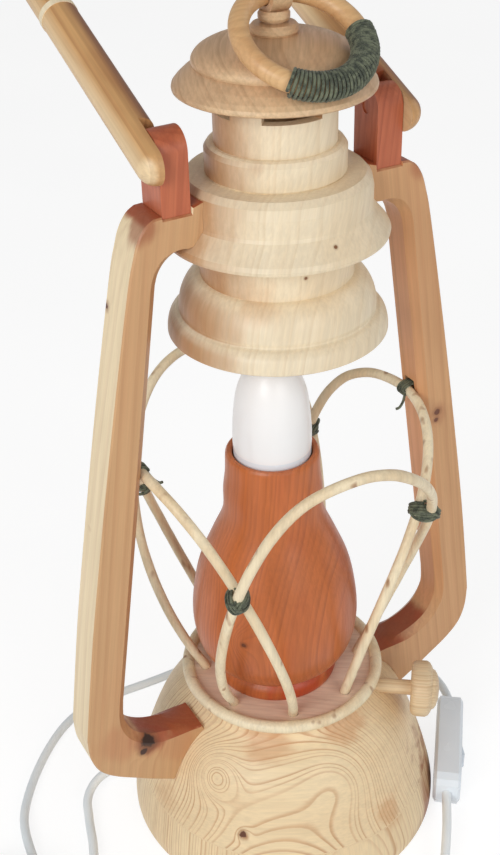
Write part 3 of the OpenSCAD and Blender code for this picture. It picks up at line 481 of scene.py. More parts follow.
LEAD_POINTS = [
    CORD_EXIT,
    *lead_bend(),
    Vector((-0.1087, 0.0290, lead_z(0.0444))),
    Vector((-0.1111, 0.0214, lead_z(0.0524))),
    *on_floor(
        (-0.1143, 0.0100), (-0.120, -0.008), (-0.122, -0.032), (-0.117, -0.058),
        (-0.104, -0.084), (-0.082, -0.108), (-0.052, -0.124), (-0.020, -0.1277),
    ),
    Vector((0.010, -0.120, 0.0034)),
    Vector((0.034, -0.105, 0.006)),
    Vector((0.052, -0.085, 0.0096)),
    on_switch(-SWITCH_MOUTH),
    on_switch(-SWITCH_CORD),
]

COIL_MID = (-0.178, -0.014)
COIL_R = 0.0275
COIL_Z = 0.0086
BUNDLE_R = 0.005
COIL_TURNS = 4.25
COIL_RINGS = 18
COIL_FIRST, COIL_STEP = -50, 72


def coil_at(turn):
    """A point of the coil, where each turn lies a fifth further round the bundle."""
    f = math.radians(COIL_FIRST - COIL_STEP * turn)
    r = COIL_R + BUNDLE_R * math.cos(f)
    a = -2 * math.pi * turn
    x, y = COIL_MID
    return Vector((x + r * math.cos(a), y + r * math.sin(a), COIL_Z + BUNDLE_R * math.sin(f)))


COIL_START = coil_at(0)
COIL_END = coil_at(COIL_TURNS)
TAIL_START = on_switch(SWITCH_CORD)
TAIL_POINTS = [
    TAIL_START,
    on_switch(SWITCH_MOUTH),
    Vector((0.116, 0.006, 0.009)),
    Vector((0.118, 0.026, 0.0054)),
    Vector((0.114, 0.050, 0.003)),
    *on_floor(
        (0.100, 0.076), (0.076, 0.095), (0.046, 0.104), (0.010, 0.106), (-0.030, 0.106),
        (-0.066, 0.107), (-0.090, 0.101), (-0.112, 0.084), (-0.132, 0.060),
    ),
    Vector((-0.143, 0.038, 0.003)),
    COIL_START + Vector((0, 0.020, -0.0012)),
    COIL_START + Vector((0, 0.00805, 0)),
    COIL_START + Vector((0, 0.003, 0)),
]


def coil_points():
    rings = int(COIL_TURNS * COIL_RINGS)
    turns = [coil_at(i / COIL_RINGS) for i in range(rings + 1)]
    return [*turns, COIL_END + Vector((-0.005, 0, 0)), COIL_END + Vector((-0.012, 0, 0))]


def cord_curve(name, points):
    """Round cord as one open spline along its route."""
    path = smooth(points, 5)
    curve = bpy.data.curves.new(name, "CURVE")
    curve.dimensions = "3D"
    curve.bevel_depth = CORD_D / 2
    curve.bevel_resolution = 6
    curve.use_fill_caps = True
    spline = curve.splines.new("POLY")
    spline.points.add(len(path) - 1)
    for point, place in zip(spline.points, path):
        point.co = (*place, 1)
    return link(name, curve)


BAND_GAP, BAND_THICK, BAND_HALF = 0.0004, 0.0007, 0.0016
SLEEVE_R, SLEEVE_TAPER, SLEEVE_RIB, SLEEVE_RINGS = 0.0038, 0.0018, 0.0003, 40
TAPER_FROM, RIBS_FROM, RIB_RINGS = 0.5, 0.55, 3


def make_cords():
    white = cord_finish()
    lead = cord_curve("lead_cord", LEAD_POINTS)
    dress(lead, white, replaces=["cord_lead", "inner_lead"])
    tail = cord_curve("tail_cord", TAIL_POINTS + coil_points())
    dress(tail, white, replaces=["cord_tail", "cord_coil"])
    tie = tie_band(white)
    relief = make_relief()
    dress(relief, white, replaces=["cord_relief"])


def tie_band(white):
    """Flat tie round all the turns of the coil, at its far left."""
    steps = 48
    inner = BUNDLE_R + CORD_D / 2 + BAND_GAP
    verts, faces = [], []
    for i in range(steps):
        a = 2 * math.pi * i / steps
        for grow, way in ((0, -1), (BAND_THICK, -1), (BAND_THICK, 1), (0, 1)):
            r = inner + grow
            x = COIL_MID[0] - COIL_R + r * math.cos(a)
            verts.append((x, COIL_MID[1] + BAND_HALF * way, COIL_Z + r * math.sin(a)))
    for i in range(steps):
        for k in range(4):
            a, b = i * 4 + k, i * 4 + (k + 1) % 4
            c = ((i + 1) % steps) * 4
            faces.append((a, b, c + (k + 1) % 4, c + k))
    mesh = bpy.data.meshes.new("coil_band")
    mesh.from_pydata(verts, [], faces)
    return dress(link("coil_band", mesh), white, replaces=["coil_tie"])


def make_relief():
    """Ribbed sleeve, tapered along the cord, that the cord leaves the base through."""
    inside = [out_at(0.062, RELIEF_Z), out_at(0.074, RELIEF_Z)]
    path = smooth([*inside, *LEAD_POINTS[:7]], 6)[:SLEEVE_RINGS]

    def radius(i, _):
        along = i / (SLEEVE_RINGS - 1)
        groove = SLEEVE_RIB if (i // RIB_RINGS) % 2 and along > RIBS_FROM else 0.0
        return SLEEVE_R - SLEEVE_TAPER * max(along - TAPER_FROM, 0.0) - groove

    return tube_mesh("relief_sleeve", path, radius, 32)


make_cords()

# Twigs of the guard, in millimetres and degrees

TWIG_R, TWIG_GAP = 2.5, 0.1
LUMP, SWELL = 0.14, 0.12
ARCH_Z0 = 90.6
ARCH_R = 41
FOOT_Z = 84
INNER_TOP, INNER_FOOT = (62, 330), (94.5, 112)


def arm_inner(z):
    """Distance of the arms' inner faces from the middle, at a height."""
    share = (INNER_TOP[1] - z) / (INNER_TOP[1] - INNER_FOOT[1])
    return INNER_TOP[0] + share * (INNER_FOOT[0] - INNER_TOP[0])


def arm_reach(rise):
    """How far an arch spreads when its top lies just inside an arm."""
    return arm_inner(ARCH_Z0 + rise) - TWIG_R - TWIG_GAP - ARCH_R


# Rise and spread of each arch, three shape exponents for each half, and its facing
ARCHES = {
    "guard_arch_front": (165.2, arm_reach(145.5) + 5.9, 0.97, 1.85, 1.44, 2.87, 3.1, 0.65, -90),
    "guard_arch_back": (154.5, arm_reach(145.5) + 7.4, 1.8, 2.3, 0.82, 3.4, 0.77, 0.48, 90),
    "guard_arch_left": (147.5, arm_reach(147.5), 1.6, 3, 0.83, 1.6, 3, 0.83, 180),
    "guard_arch_right": (145.5, arm_reach(145.5), 3.2, 0.6, 0.45, 0.8, 1.3, 1.18, 0),
}
ARCH_HALF_ANGLE = 67.5
ARCH_STEPS = 60
ARCH_PARTS = 30
ARCH_CROWD = 2.2
CROSSING_ANGLE = 45


def arch_half(arch, way):
    """Lift, spread and turn exponents of the half that way points to."""
    return arch[2:5] if way >= 0 else arch[5:8]


def arch_at(arch, t, middle=None):
    """Point of an arch at t degrees, 0 and 180 at its feet."""
    rise, reach, facing = arch[0], arch[1], arch[8]
    c = math.cos(math.radians(t))
    lift, fall, turn = arch_half(arch, c)
    s = max(math.sin(math.radians(t)), 0) ** lift
    facing = facing if middle is None else middle
    a = math.radians(facing + ARCH_HALF_ANGLE * math.copysign(abs(c) ** turn, c))
    r = ARCH_R + reach * (1 - (1 - s) ** fall)
    return mm(r * math.cos(a), r * math.sin(a), ARCH_Z0 + rise * s)


def evenly(points, parts):
    """The same line with its points at equal distances along it."""
    length = [0.0]
    for a, b in zip(points, points[1:]):
        length.append(length[-1] + (b - a).length)
    out, k = [], 0
    for i in range(parts + 1):
        want = length[-1] * i / parts
        while k < len(points) - 2 and length[k + 1] < want:
            k += 1
        share = (want - length[k]) / max(length[k + 1] - length[k], 1e-9)
        out.append(points[k].lerp(points[k + 1], share))
    return out


def arch_path(arch):
    """Middle of a twig from foot to foot, its points crowded at the top."""
    close = []
    for w in range(-ARCH_STEPS, ARCH_STEPS + 1):
        t = 90 - 90 * math.copysign((abs(w) / ARCH_STEPS) ** ARCH_CROWD, w)
        close.append(arch_at(arch, t))
    even = evenly(close, ARCH_PARTS)
    foot_a = Vector((even[0].x, even[0].y, FOOT_Z * MM))
    foot_b = Vector((even[-1].x, even[-1].y, FOOT_Z * MM))
    return smooth([foot_a, *even, foot_b], 6)


def make_twigs(material):
    for number, (name, arch) in enumerate(ARCHES.items()):
        path = arch_path(arch)

        def radius(i, angle, number=number):
            spot = Vector((i * 0.16, math.cos(angle) * 0.7 + number * 5, math.sin(angle) * 0.7))
            lump = noise.noise(spot) * LUMP
            swell = noise.noise(Vector((i * 0.05, number * 9.0, 3.0))) * SWELL
            return (TWIG_R + lump + swell) * MM

        twig = tube_mesh(name.replace("guard_arch", "twig"), path, radius, 20)
        dress(twig, material, replaces=[name])


# Twine: three strands laid together, so its outline turns along its length

TWINE_R, TWINE_LAY, TWINE_END_LAY = 0.0007, 0.0032, 0.0026
TWINE_SIDES, VALLEY, STRAND = 12, 0.9, 0.12


def twine(name, path, material, body, replaces, lay=TWINE_LAY):
    length = [0.0]
    for a, b in zip(path, path[1:]):
        length.append(length[-1] + (b - a).length)

    def strand(i, angle):
        turn = 2 * math.pi * length[i] / lay
        return TWINE_R * (VALLEY + STRAND * abs(math.cos(1.5 * (angle - turn))))

    piece = tube_mesh(name, path, strand, TWINE_SIDES)
    return dress(piece, material, body, replaces)


HOOP_R, HOOP_STICK_R, HOOP_TILT, EYE_Z = 25.2, 4.1, 31, 438.1
UNDER_R = HOOP_STICK_R + 0.35
WRAP_FROM, WRAP_TO, WRAP_TURNS, WRAP_MARGIN = -40, 90, 36, 1.2
WRAP_OUT, WRAP_RINGS, WRAP_WANDER = 0.72, 18, 0.02


def hoop_frame_at(degrees):
    """Centre of the hoop's stick, its outward vector and the hoop's normal."""
    a, tilt = math.radians(degrees), math.radians(HOOP_TILT)
    lean = 1 + math.cos(a)
    y = -HOOP_R * math.cos(tilt) * lean
    z = EYE_Z - HOOP_R * math.sin(tilt) * lean
    centre = mm(HOOP_R * math.sin(a), y, z)
    middle = mm(0, -HOOP_R * math.cos(tilt), EYE_Z - HOOP_R * math.sin(tilt))
    normal = Vector((0, -math.sin(tilt), math.cos(tilt)))
    return centre, (centre - middle).normalized(), normal


def make_hoop_wrap(material):
    """Twine wound round part of the hoop, each turn a little off the one before."""
    total = WRAP_TURNS * WRAP_RINGS
    path = []
    for i in range(total + 1):
        a = WRAP_FROM + WRAP_MARGIN + (WRAP_TO - WRAP_FROM - 2 * WRAP_MARGIN) * i / total
        turn = 2 * math.pi * i / WRAP_RINGS
        wander = 1 + WRAP_WANDER * noise.noise(Vector((i * 0.07, 2, 5)))
        centre, out, normal = hoop_frame_at(a)
        r = (UNDER_R + WRAP_OUT) * MM * wander
        path.append(centre + r * (math.cos(turn) * out + math.sin(turn) * normal))
    twine("hoop_twine", path, material, "hoop", ["hoop_wrap", "hoop_underwrap"])


# Each crossing's sets of turns: tilt, half width in millimetres and number of turns
TIE_SETS = ((52, 6.7, 3.2), (-52, 7.3, 3.2), (0, 6.2, 2.4))
TIE_FLAT, TIE_PITCH, TIE_START, TIE_RINGS = 2.0 * MM, 1.45 * MM, 200, 26


def ellipse_turns(centre, e1, e2, e3, a, b, turns):
    """Turns of twine as an oval round what it holds, stepping along e3."""
    path = []
    for i in range(int(turns * TIE_RINGS) + 1):
        f = math.radians(TIE_START) + 2 * math.pi * i / TIE_RINGS
        step = (i / TIE_RINGS - turns / 2) * TIE_PITCH
        path.append(centre + a * math.cos(f) * e1 + b * math.sin(f) * e2 + step * e3)
    return path


# Outer arch, inner arch, where they cross, and the half of the outer one that crosses
CROSSINGS = (
    ("front", "left", -135, -1),
    ("front", "right", -45, 1),
    ("back", "left", 135, 1),
    ("back", "right", 45, -1),
)


def crossing(first, second, angle, half):
    """Where two arches cross, and the outward and sideways vectors there."""
    spots = []
    for name, way in ((first, half), (second, -half)):
        arch = ARCHES["guard_arch_" + name]
        share = (CROSSING_ANGLE / ARCH_HALF_ANGLE) ** (1 / arch_half(arch, way)[2])
        t = math.degrees(math.acos(share))
        spots.append(arch_at(arch, t if way > 0 else 180 - t, 0))
    radii = [math.hypot(p.x, p.y) for p in spots]
    a = math.radians(angle)
    out = Vector((math.cos(a), math.sin(a), 0))
    centre = out * sum(radii) / 2 + Vector((0, 0, (spots[0].z + spots[1].z) / 2))
    return centre, out, Vector((-out.y, out.x, 0))


def make_crossing_ties(material):
    """Two sets of diagonal turns over each crossing, and a few level ones under them."""
    up = Vector((0, 0, 1))
    for first, second, angle, half in CROSSINGS:
        centre, out, side = crossing(first, second, angle, half)
        for tilt, reach, turns in TIE_SETS:
            a = math.radians(tilt)
            across = math.cos(a) * side + math.sin(a) * up
            along = math.cos(a) * up - math.sin(a) * side
            wide = reach * MM
            path = ellipse_turns(centre, out, across, along, wide, wide - TIE_FLAT, turns)
            name = f"tie_{first}_{second}_{tilt % 90}"
            twine(name, path, material, "lamp", [])
    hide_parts("crossing_ties")


# The twine round a side twig and the pin in its arm: where twig and pin lie beside the
# arm's inner face, the loop's radius round each, and its height, pitch and turns
TWIG_IN, PIN_OUT = 2.6, 3.9
LOOP_TWIG_R, LOOP_PIN_R, LOOP_HEIGHT = 3.45, 2.0, 1.12
LOOP_PITCH, LOOP_TURNS, LOOP_RINGS = 1.5, 3.4, 30
LOOSE_END = ((-5.6, -2.4, 0.4), (-6.6, -3.6, -1.6), (-8.2, -4.6, -4.2), (-10.4, -5.0, -6.4),
             (-12.2, -4.6, -6.9))


def make_arm_ties(material):
    """Twine round each side twig and its pin, with one loose end."""
    for name, way in (("left", -1), ("right", 1)):
        z = ARCH_Z0 + ARCHES["guard_arch_" + name][0]
        twig_x, pin_x = arm_inner(z) - TWIG_IN, arm_inner(z) + PIN_OUT
        centre = mm(way * (twig_x + pin_x) / 2, 0, z)
        half = (pin_x - twig_x) / 2
        path = []
        for i in range(int(LOOP_RINGS * LOOP_TURNS) + 1):
            f = 2 * math.pi * i / LOOP_RINGS
            r_end = LOOP_TWIG_R + (LOOP_PIN_R - LOOP_TWIG_R) * (0.5 - 0.5 * math.cos(f))
            dx = -math.cos(f) * (half + r_end)
            dz = math.sin(f) * r_end * LOOP_HEIGHT
            dy = (i / LOOP_RINGS - LOOP_TURNS / 2) * LOOP_PITCH
            path.append(centre + mm(way * dx, dy, dz))
        twine(f"arm_twine_{name}", path, material, "lamp", [f"arm_tie_{name}"])
        end = smooth([centre + mm(way * dx, dy, dz) for dx, dy, dz in LOOSE_END], 6)
        twine(f"arm_twine_end_{name}", end, material, "lamp", [], TWINE_END_LAY)


# Turned and sawn pieces that carry more of the photographed form than their CAD nodes

BASE_R, BASE_H, HOOD_Z, BELL_R = 84, 84, 292.7, 49.6
FLANGE_Z, FLUE_R, BELL_WALL = 338, 12, 4
TURNED_SHARP, SAWN_SHARP = 32, 28
BASE_SIDE = [(84, 2), (83.3, 8), (81.4, 18), (78, 30), (74, 42), (71.2, 50), (67.7, 58),
             (63.2, 65), (57.7, 71), (52.2, 75.5), (48.7, 79), (46.8, 82.4)]
HOOD_SIDE = [(47.4, 338), (49, 338.8), (49.3, 340.2), (48.4, 342), (45.6, 345.2), (42, 349.6),
             (41.5, 351), (41.5, 359), (40.6, 363.4), (38.2, 366)]


def side_at(profile, z):
    """Radius of a turned profile at a height."""
    for (r0, z0), (r1, z1) in zip(profile, profile[1:]):
        if z <= z1:
            return r0 + (r1 - r0) * max(z - z0, 0) / (z1 - z0)
    return profile[-1][0]


def lathe(name, profile, steps, turn=Matrix.Identity(4)):
    """Closed profile of (radius, height) in millimetres, turned about the Z axis."""
    verts, faces = [], []
    count = len(profile)
    for i in range(steps):
        a = 2 * math.pi * i / steps
        verts += [turn @ mm(r * math.cos(a), r * math.sin(a), z) for r, z in profile]
    for i in range(steps):
        for k in range(count):
            j, n = (k + 1) % count, ((i + 1) % steps) * count
            faces.append((i * count + k, n + k, n + j, i * count + j))
    return shape(name, verts, faces, TURNED_SHARP)


def shape(name, verts, faces, angle):
    """Object from points and faces, smooth up to an angle, with no doubled points."""
    mesh = bpy.data.meshes.new(name)
    mesh.from_pydata(verts, [], faces)
    work = bmesh.new()
    work.from_mesh(mesh)
    bmesh.ops.remove_doubles(work, verts=work.verts, dist=1e-6)
    bmesh.ops.dissolve_degenerate(work, edges=work.edges, dist=1e-7)
    bmesh.ops.recalc_face_normals(work, faces=work.faces)
    work.to_mesh(mesh)
    work.free()
    mesh.shade_smooth()
    mesh.set_sharp_from_angle(angle=math.radians(angle))
    return link(name, mesh)


def flat_smooth(points, steps):
    """The same curve for pairs of numbers."""
    return [(p.x, p.y) for p in smooth([Vector((*p, 0)) for p in points], steps)]


def make_bell(material):
    """Hood bell with the crease over its lip."""
    b, h = BELL_R, HOOD_Z
    outer = flat_smooth([
        (b, h + 0.8), (b - 0.2, h + 3.6), (b - 1.2, h + 7), (b - 3.4, h + 9.4),
        (b - 5.6, h + 10.6), (b - 5.5, h + 12.8), (b - 6.5, h + 18.2), (b - 9.2, h + 23.4),
        (b - 12.8, h + 26.6), (b - 15.6, h + 27.4)], 5)
    inner = [(r - BELL_WALL - 1, z - 1.4) for r, z in outer[2:-3]]
    profile = [(b - BELL_WALL, h), (b - 1, h), *outer, (b - 15.6, FLANGE_Z), (FLUE_R, FLANGE_Z),
               (FLUE_R, FLANGE_Z - 6), *reversed(inner)]
    bell = lathe("bell_turned", profile, 160)
    dress(bell, material, replaces=["hood_bell"])


DECK_TOP, VASE_TOP, COLUMN = 90.2, 225.6, (-3, 1.5, 0)
TUBE_HOLE_R, BORE_R, BORE_FLOOR, BORE_TOP = 5.15, 14.2, 112.2, 182.6
MOUTH_R, MOUTH_FLOOR, MOUTH_TOP = 19.4, 190.6, 224.6


def make_vase(material):
    """Turned vase with the ridge round its foot and the holder's bore."""
    foot = [(TUBE_HOLE_R, DECK_TOP), (31.3, DECK_TOP), (31.9, 91), (32.3, 93), (32, 95.4),
            (31.2, 97.4), (30.2, 98.4), (29.9, 99)]
    side = flat_smooth([
        (30.6, 99.8), (34, 102.6), (37.8, 107.4), (41, 115.4), (42.6, 128), (41.5, 142),
        (38.2, 158), (31.8, 174), (25.2, 190), (24.4, 204), (23.2, 214), (22.9, 222.6),
        (22.6, 224.6)], 5)
    rim = [(21.8, VASE_TOP), (20.2, VASE_TOP), (MOUTH_R, MOUTH_TOP), (MOUTH_R, MOUTH_FLOOR),
           (BORE_R, BORE_TOP), (BORE_R, BORE_FLOOR), (TUBE_HOLE_R, BORE_FLOOR)]
    vase = lathe("vase_turned", foot + side + rim, 128, Matrix.Translation(mm(*COLUMN)))
    dress(vase, material, replaces=["chimney_vase"])


KNOB_ANGLE, KNOB_R, KNOB_FROM, KNOB_Z = -37, 14.8, 69.5, 76.5
SHAFT_R, SHAFT_FROM = 4, 40.3


def make_knob(material):
    """Side knob turned with two steps, on its shaft in the base."""
    r, f = KNOB_R, KNOB_FROM
    profile = [(0, SHAFT_FROM), (SHAFT_R, SHAFT_FROM), (SHAFT_R, f), (r - 2.8, f),
               (r - 1.5, f + 0.5), (r - 0.5, f + 1.8), (r, f + 3.4), (r, f + 8),
               (r - 0.9, f + 9.6), (r - 2.8, f + 10.8), (r - 4, f + 11.2), (r - 4.8, f + 12.6),
               (r - 6.4, f + 13.6), (r - 9.6, f + 14.6), (0, f + 15)]
    turn = Matrix.Rotation(math.radians(KNOB_ANGLE), 4, "Z") @ Matrix.Translation(mm(0, 0, KNOB_Z))
    knob = lathe("knob_turned", profile, 96, turn @ Matrix.Rotation(math.radians(90), 4, "Y"))
    dress(knob, material, "knob", ["knob"])


ARM_HALF, ARM_CHAMFER = 10, 3.6
ARM_WORN_FROM, ARM_WORN, CONTACT_GAP = 9.2, 0.9, 0.06
NOTCH_OUT, NOTCH_SIZE = 3.5, (9.6, 7.4, 10.6)
ARM_LAYERS = (-10, -9.75, -9.2, -8, -6.4, 0, 6.4, 8, 9.2, 9.75, 10)
ARM_TOP_X, ARM_TOP_Z, ARM_FOOT_X = 72, 360, 116.2


def arm_edge():
    """Outline of the right arm as (x, z, how much of the chamfer, contact profile)."""
    t, f, h = ARM_TOP_Z, ARM_FOOT_X, BASE_H

    def slant(out, down):
        return ARM_TOP_X + out * (f - ARM_TOP_X), t - 15 - down * (t - 26 - h)

    outer = flat_smooth([
        (62, t), (66, t - 2.6), (69.6, t - 8), slant(0, 0), slant(0.086, 0.06),
        slant(0.342, 0.288), slant(0.579, 0.516), slant(0.805, 0.748), slant(0.982, 0.964),
        slant(1, 1), (f - 0.7, h + 0.5), (f - 3.6, h - 8.2), (f - 8.2, h - 14.2),
        (f - 15, h - 19.8), (f - 23.2, h - 25), (f - 30.5, h - 29.7), (f - 38.2, h - 34.2),
        (72.2, 46.6)], 4)
    inside = flat_smooth([(54, 76.9), (61, 77.5), (75, 80.5), (84, 84), (91, 90), (95, 100),
                          INNER_FOOT], 4)
    shoulder = flat_smooth([INNER_TOP, (60.5, 334.6), (58, 338.4), (55, 341), (51, 343),
                            (47.4, 343.7)], 4)
    foot, top = INNER_FOOT[1], INNER_TOP[1]
    long_edge = [(arm_inner(z), z) for z in (foot + (top - foot) * k / 8 for k in range(1, 8))]
    seat = [(44.8, 361.8), (44.8, 359), (58.2, 359), (58.2, 360.2)]
    out = [(x, z, 0, None) for x, z in seat + outer]
    out += [(0, z, 0, BASE_SIDE) for z in range(48, 75, 2)]
    out += [(x, z, min(max((x - 57) / 18, 0), 1), None) for x, z in inside]
    out += [(x, z, 1, None) for x, z in long_edge]
    out += [(x, z, min(max((x - 45) / 12, 0), 1), None) for x, z in shoulder]
    out += [(0, z, 0, HOOD_SIDE) for z in (344.6, 346, 348, 350, 351.2, 355, 359, 361.4, 362.9)]
    return out


def make_arm(name, way, tie_z, material):
    """Sawn arm, layer by layer across its thickness, so its ends follow base and hood."""
    edge = arm_edge()
    count = len(edge)
    middle = [(side_at(p, z), z) if p else (x, z) for x, z, _, p in edge]
    normals = []
    for i in range(count):
        a, b = Vector(middle[i - 1]), Vector(middle[(i + 1) % count])
        normals.append(Vector((-(b - a).y, (b - a).x)).normalized())
    verts, faces = [], []
    for y in ARM_LAYERS:
        sawn = max(abs(y) - (ARM_HALF - ARM_CHAMFER), 0)
        worn = max(abs(y) - ARM_WORN_FROM, 0) * ARM_WORN
        for (x, z, share, contact), normal in zip(edge, normals):
            if contact:
                x = math.sqrt(side_at(contact, z) ** 2 - y * y) + CONTACT_GAP
            else:
                cut = max(sawn * share, worn)
                x, z = x - normal.x * cut, z - normal.y * cut
            verts.append(mm(way * x, y, z))
    for k in range(len(ARM_LAYERS) - 1):
        for i in range(count):
            j = (i + 1) % count
            faces.append((k * count + i, k * count + j, (k + 1) * count + j, (k + 1) * count + i))
    faces.append(tuple(range(count)))
    faces.append(tuple(range((len(ARM_LAYERS) - 1) * count, len(ARM_LAYERS) * count)))
    arm = shape(name.replace("arm", "arm_sawn"), verts, faces, SAWN_SHARP)
    carve_box(arm, mm(way * (arm_inner(tie_z) + NOTCH_OUT), 0, tie_z), mm(*NOTCH_SIZE))
    dress(arm, material, replaces=[name])


def carve_box(piece, centre, size):
    """Takes a box out of a piece, for good."""
    box = bpy.data.meshes.new("box")
    work = bmesh.new()
    place = Matrix.Translation(centre) @ Matrix.Diagonal((*size, 1))
    bmesh.ops.create_cube(work, size=1, matrix=place)
    work.to_mesh(box)
    work.free()
    cutter = link("cutter", box)
    cut = piece.modifiers.new("pocket", "BOOLEAN")
    cut.object = cutter
    bpy.context.view_layer.update()
    ready = piece.evaluated_get(bpy.context.evaluated_depsgraph_get())
    mesh = bpy.data.meshes.new_from_object(ready)
    piece.modifiers.clear()
    piece.data = mesh
    mesh.set_sharp_from_angle(angle=math.radians(SAWN_SHARP))
    bpy.data.objects.remove(cutter)


# Woods of the CAD nodes


def put(material, *names):
    for name in names:
        data = NODES[name].data
        data.materials.clear()
        data.materials.append(material)


def finish_base():
    base = wood(
        "base_pine", (246, 222, 180), (188, 124, 72),
        pith=(43, 75, 30), along=(0.866, -0.5, 0.02), spacing=1.9, rings=0.8,
        warp=1.6, stretch=0.4,
        dents=[((-58, -30, 61), 12, 18), ((-3, -64, 60), 21, 9)],
        knots=[((-54.4, -52.4, 37), 1.9, (96, 52, 28))],
        layer=(28, (-20, -300, 0), (0, 0.15, 1)), line=(0.5, 0.9),
        # The side turned right and to the front is painted dark brown: painted shade.
        sides=[((0.8, -0.55, -0.1), 0.86, 1.0, (158, 88, 44))],
        stains_and_shade=[
            # The patches at (-34, -38, 80) and (10, -48, 80), under the front of the gallery ring,
            # are painted shade.
            ((22, -78, 34), 11, 0.5, (206, 146, 90)), ((-34, -38, 80), 13, 0.5, (206, 146, 96)),
            ((10, -48, 80), 14, 0.5, (206, 146, 96)), ((-84, -8, 40), 14, 0.4, (214, 164, 112)),
        ],
        patch=((228, 194, 150), 0.3, 60), fibre=0.05, rough=0.44,
    )
    put(base, "base", "base_plate")
    knob = wood("knob_pine", (234, 208, 168), (200, 152, 104), pith=(52, -62, 70),
                along=(0.8, -0.6, 0), spacing=1.5, rings=0.5, warp=1.2,
                patch=((212, 170, 124), 0.4, 14), fibre=0.07)
    make_knob(knob)
    put(knob, "arm_dowels", "ear_dowels")
    deck = wood("deck_wood", (240, 212, 188), (206, 164, 138), pith=(-120, 60, 60),
                along=(0.8, -0.55, 0.1), spacing=2.6, rings=0.4, warp=2.0,
                patch=((220, 182, 156), 0.5, 30), fibre=0.06)
    put(deck, "deck_plate")


# Knots of each arm, and its patches: stained wood, and painted shade where the right arm's foot
# meets the base
ARM_MARKS = {
    "left": (
        [((-84.3, -10, 81.6), 4.2, (52, 30, 22)), ((-87.5, -10, 76), 2.2, (60, 32, 24)),
         ((-76.7, 8.2, 318.3), 1.9, (96, 52, 30)), ((-96, 4, 212), 1.4, (150, 92, 56))],
        [((-80, -10, 85), 13, 0.85, (166, 76, 46)), ((-84, -10, 80), 6.5, 0.75, (112, 56, 38)),
         ((-66, -6, 357), 9, 0.7, (160, 88, 54)), ((-98, -10, 88), 14, 0.4, (190, 122, 82)),
         ((-70, -10, 70), 12, 0.3, (190, 122, 82))],
    ),
    "right": (
        [((86, -10, 223.4), 1.7, (112, 62, 38)), ((85.6, -10, 219), 1.3, (112, 62, 38))],
        [((86, -10, 222), 9, 0.4, (180, 120, 80)), ((66, -6, 357), 9, 0.6, (166, 92, 56)),
         # The patch at (72, 0, 90), where the right arm's foot meets the base, is painted shade.
         ((72, 0, 90), 16, 0.5, (150, 84, 52))],
    ),
}


def finish_arms():
    """Tan faces, cream outer sides partly painted light, red-brown inner sides, painted shade on
    upward faces and where the right foot meets the base, darker at the left foot.
    """
    lean = 0.173  # of the arms' sawn sides, from upright
    for side, way in (("left", -1), ("right", 1)):
        left = way < 0
        knots, stains_and_shade = ARM_MARKS[side]
        arm = wood(
            f"{side}_arm_wood", (210, 166, 120) if left else (212, 163, 116),
            (182, 126, 84) if left else (176, 116, 74),
            pith=(way * 20, 60, 200), along=(-way * 0.147, 0, 1), spacing=3.4, rings=0.4,
            warp=2.4, stretch=0.1, knots=knots, stains_and_shade=stains_and_shade,
            # Upward faces are painted red-brown as painted shade; the cream outer sides are paler
            # wood made lighter still as painted light.
            sides=[((way, 0, lean), 0.72, 0.9, (248, 226, 186)),
                   ((-way, 0, -lean), 0.55, 0.9, (182, 112, 72) if left else (228, 166, 118)),
                   ((0, 0, 1), 0.6, 0.85, (166, 82, 48)), ((0, 1, 0), 0.8, 0.95, (226, 188, 142))],
            patch=((200, 144, 100), 0.4, 60), fibre=0.045, rough=0.44,
        )
        make_arm(f"{side}_arm", way, ARCH_Z0 + ARCHES["guard_arch_" + side][0], arm)


def finish_hood():
    cream = wood(
        "hood_cream", (242, 226, 196), (216, 188, 146), pith=(-150, 90, 300),
        along=(0.3, 0.2, 1), spacing=3.0, rings=0.35, warp=3.0,
        knots=[((-29.6, -21.4, 331), 0.9, (128, 84, 52)), ((-5.6, -33.5, 330), 0.7, (128, 84, 52)),
               ((1.8, -44.6, 346.5), 0.8, (128, 84, 52))],
        patch=((228, 200, 160), 0.4, 45), fibre=0.05, rough=0.44, coat=0.08,
        # Faces looking left are painted brown: a painted reflection of the left arm.
        sides=[((-0.95, 0.15, 0.1), 0.5, 1.0, (190, 142, 98))],
        stains_and_shade=[
            # The patch at (-46, -8, 345), at the left of the flange, is painted shade and painted
            # reflection of the arm.
            ((-30, -30, 322), 12, 0.4, (214, 172, 128)), ((-46, -8, 345), 9, 0.5, (190, 144, 102)),
            ((-24, -24, 378), 7, 0.4, (196, 150, 108)),
        ],
    )
    put(cream, "hood_flange", "hood_ring", "hood_neck")
    make_bell(cream)
    cap = wood(
        # The cap's browner wood is partly painted shade on its upward faces, and faces turned
        # towards the camera are painted lighter as painted light.
        "cap_wood", (214, 176, 136), (172, 126, 86), pith=(-90, 60, 300), along=(0.5, 0.8, 0.1),
        spacing=2.6, rings=0.4, warp=3.0, patch=((188, 142, 102), 0.5, 26), fibre=0.09,
        rough=0.45, coat=0.06, sides=[((-0.5, -0.87, 0), 0.5, 0.9, (226, 192, 150))],
    )
    put(cap, "cap_brim", "cap_dome", "finial")


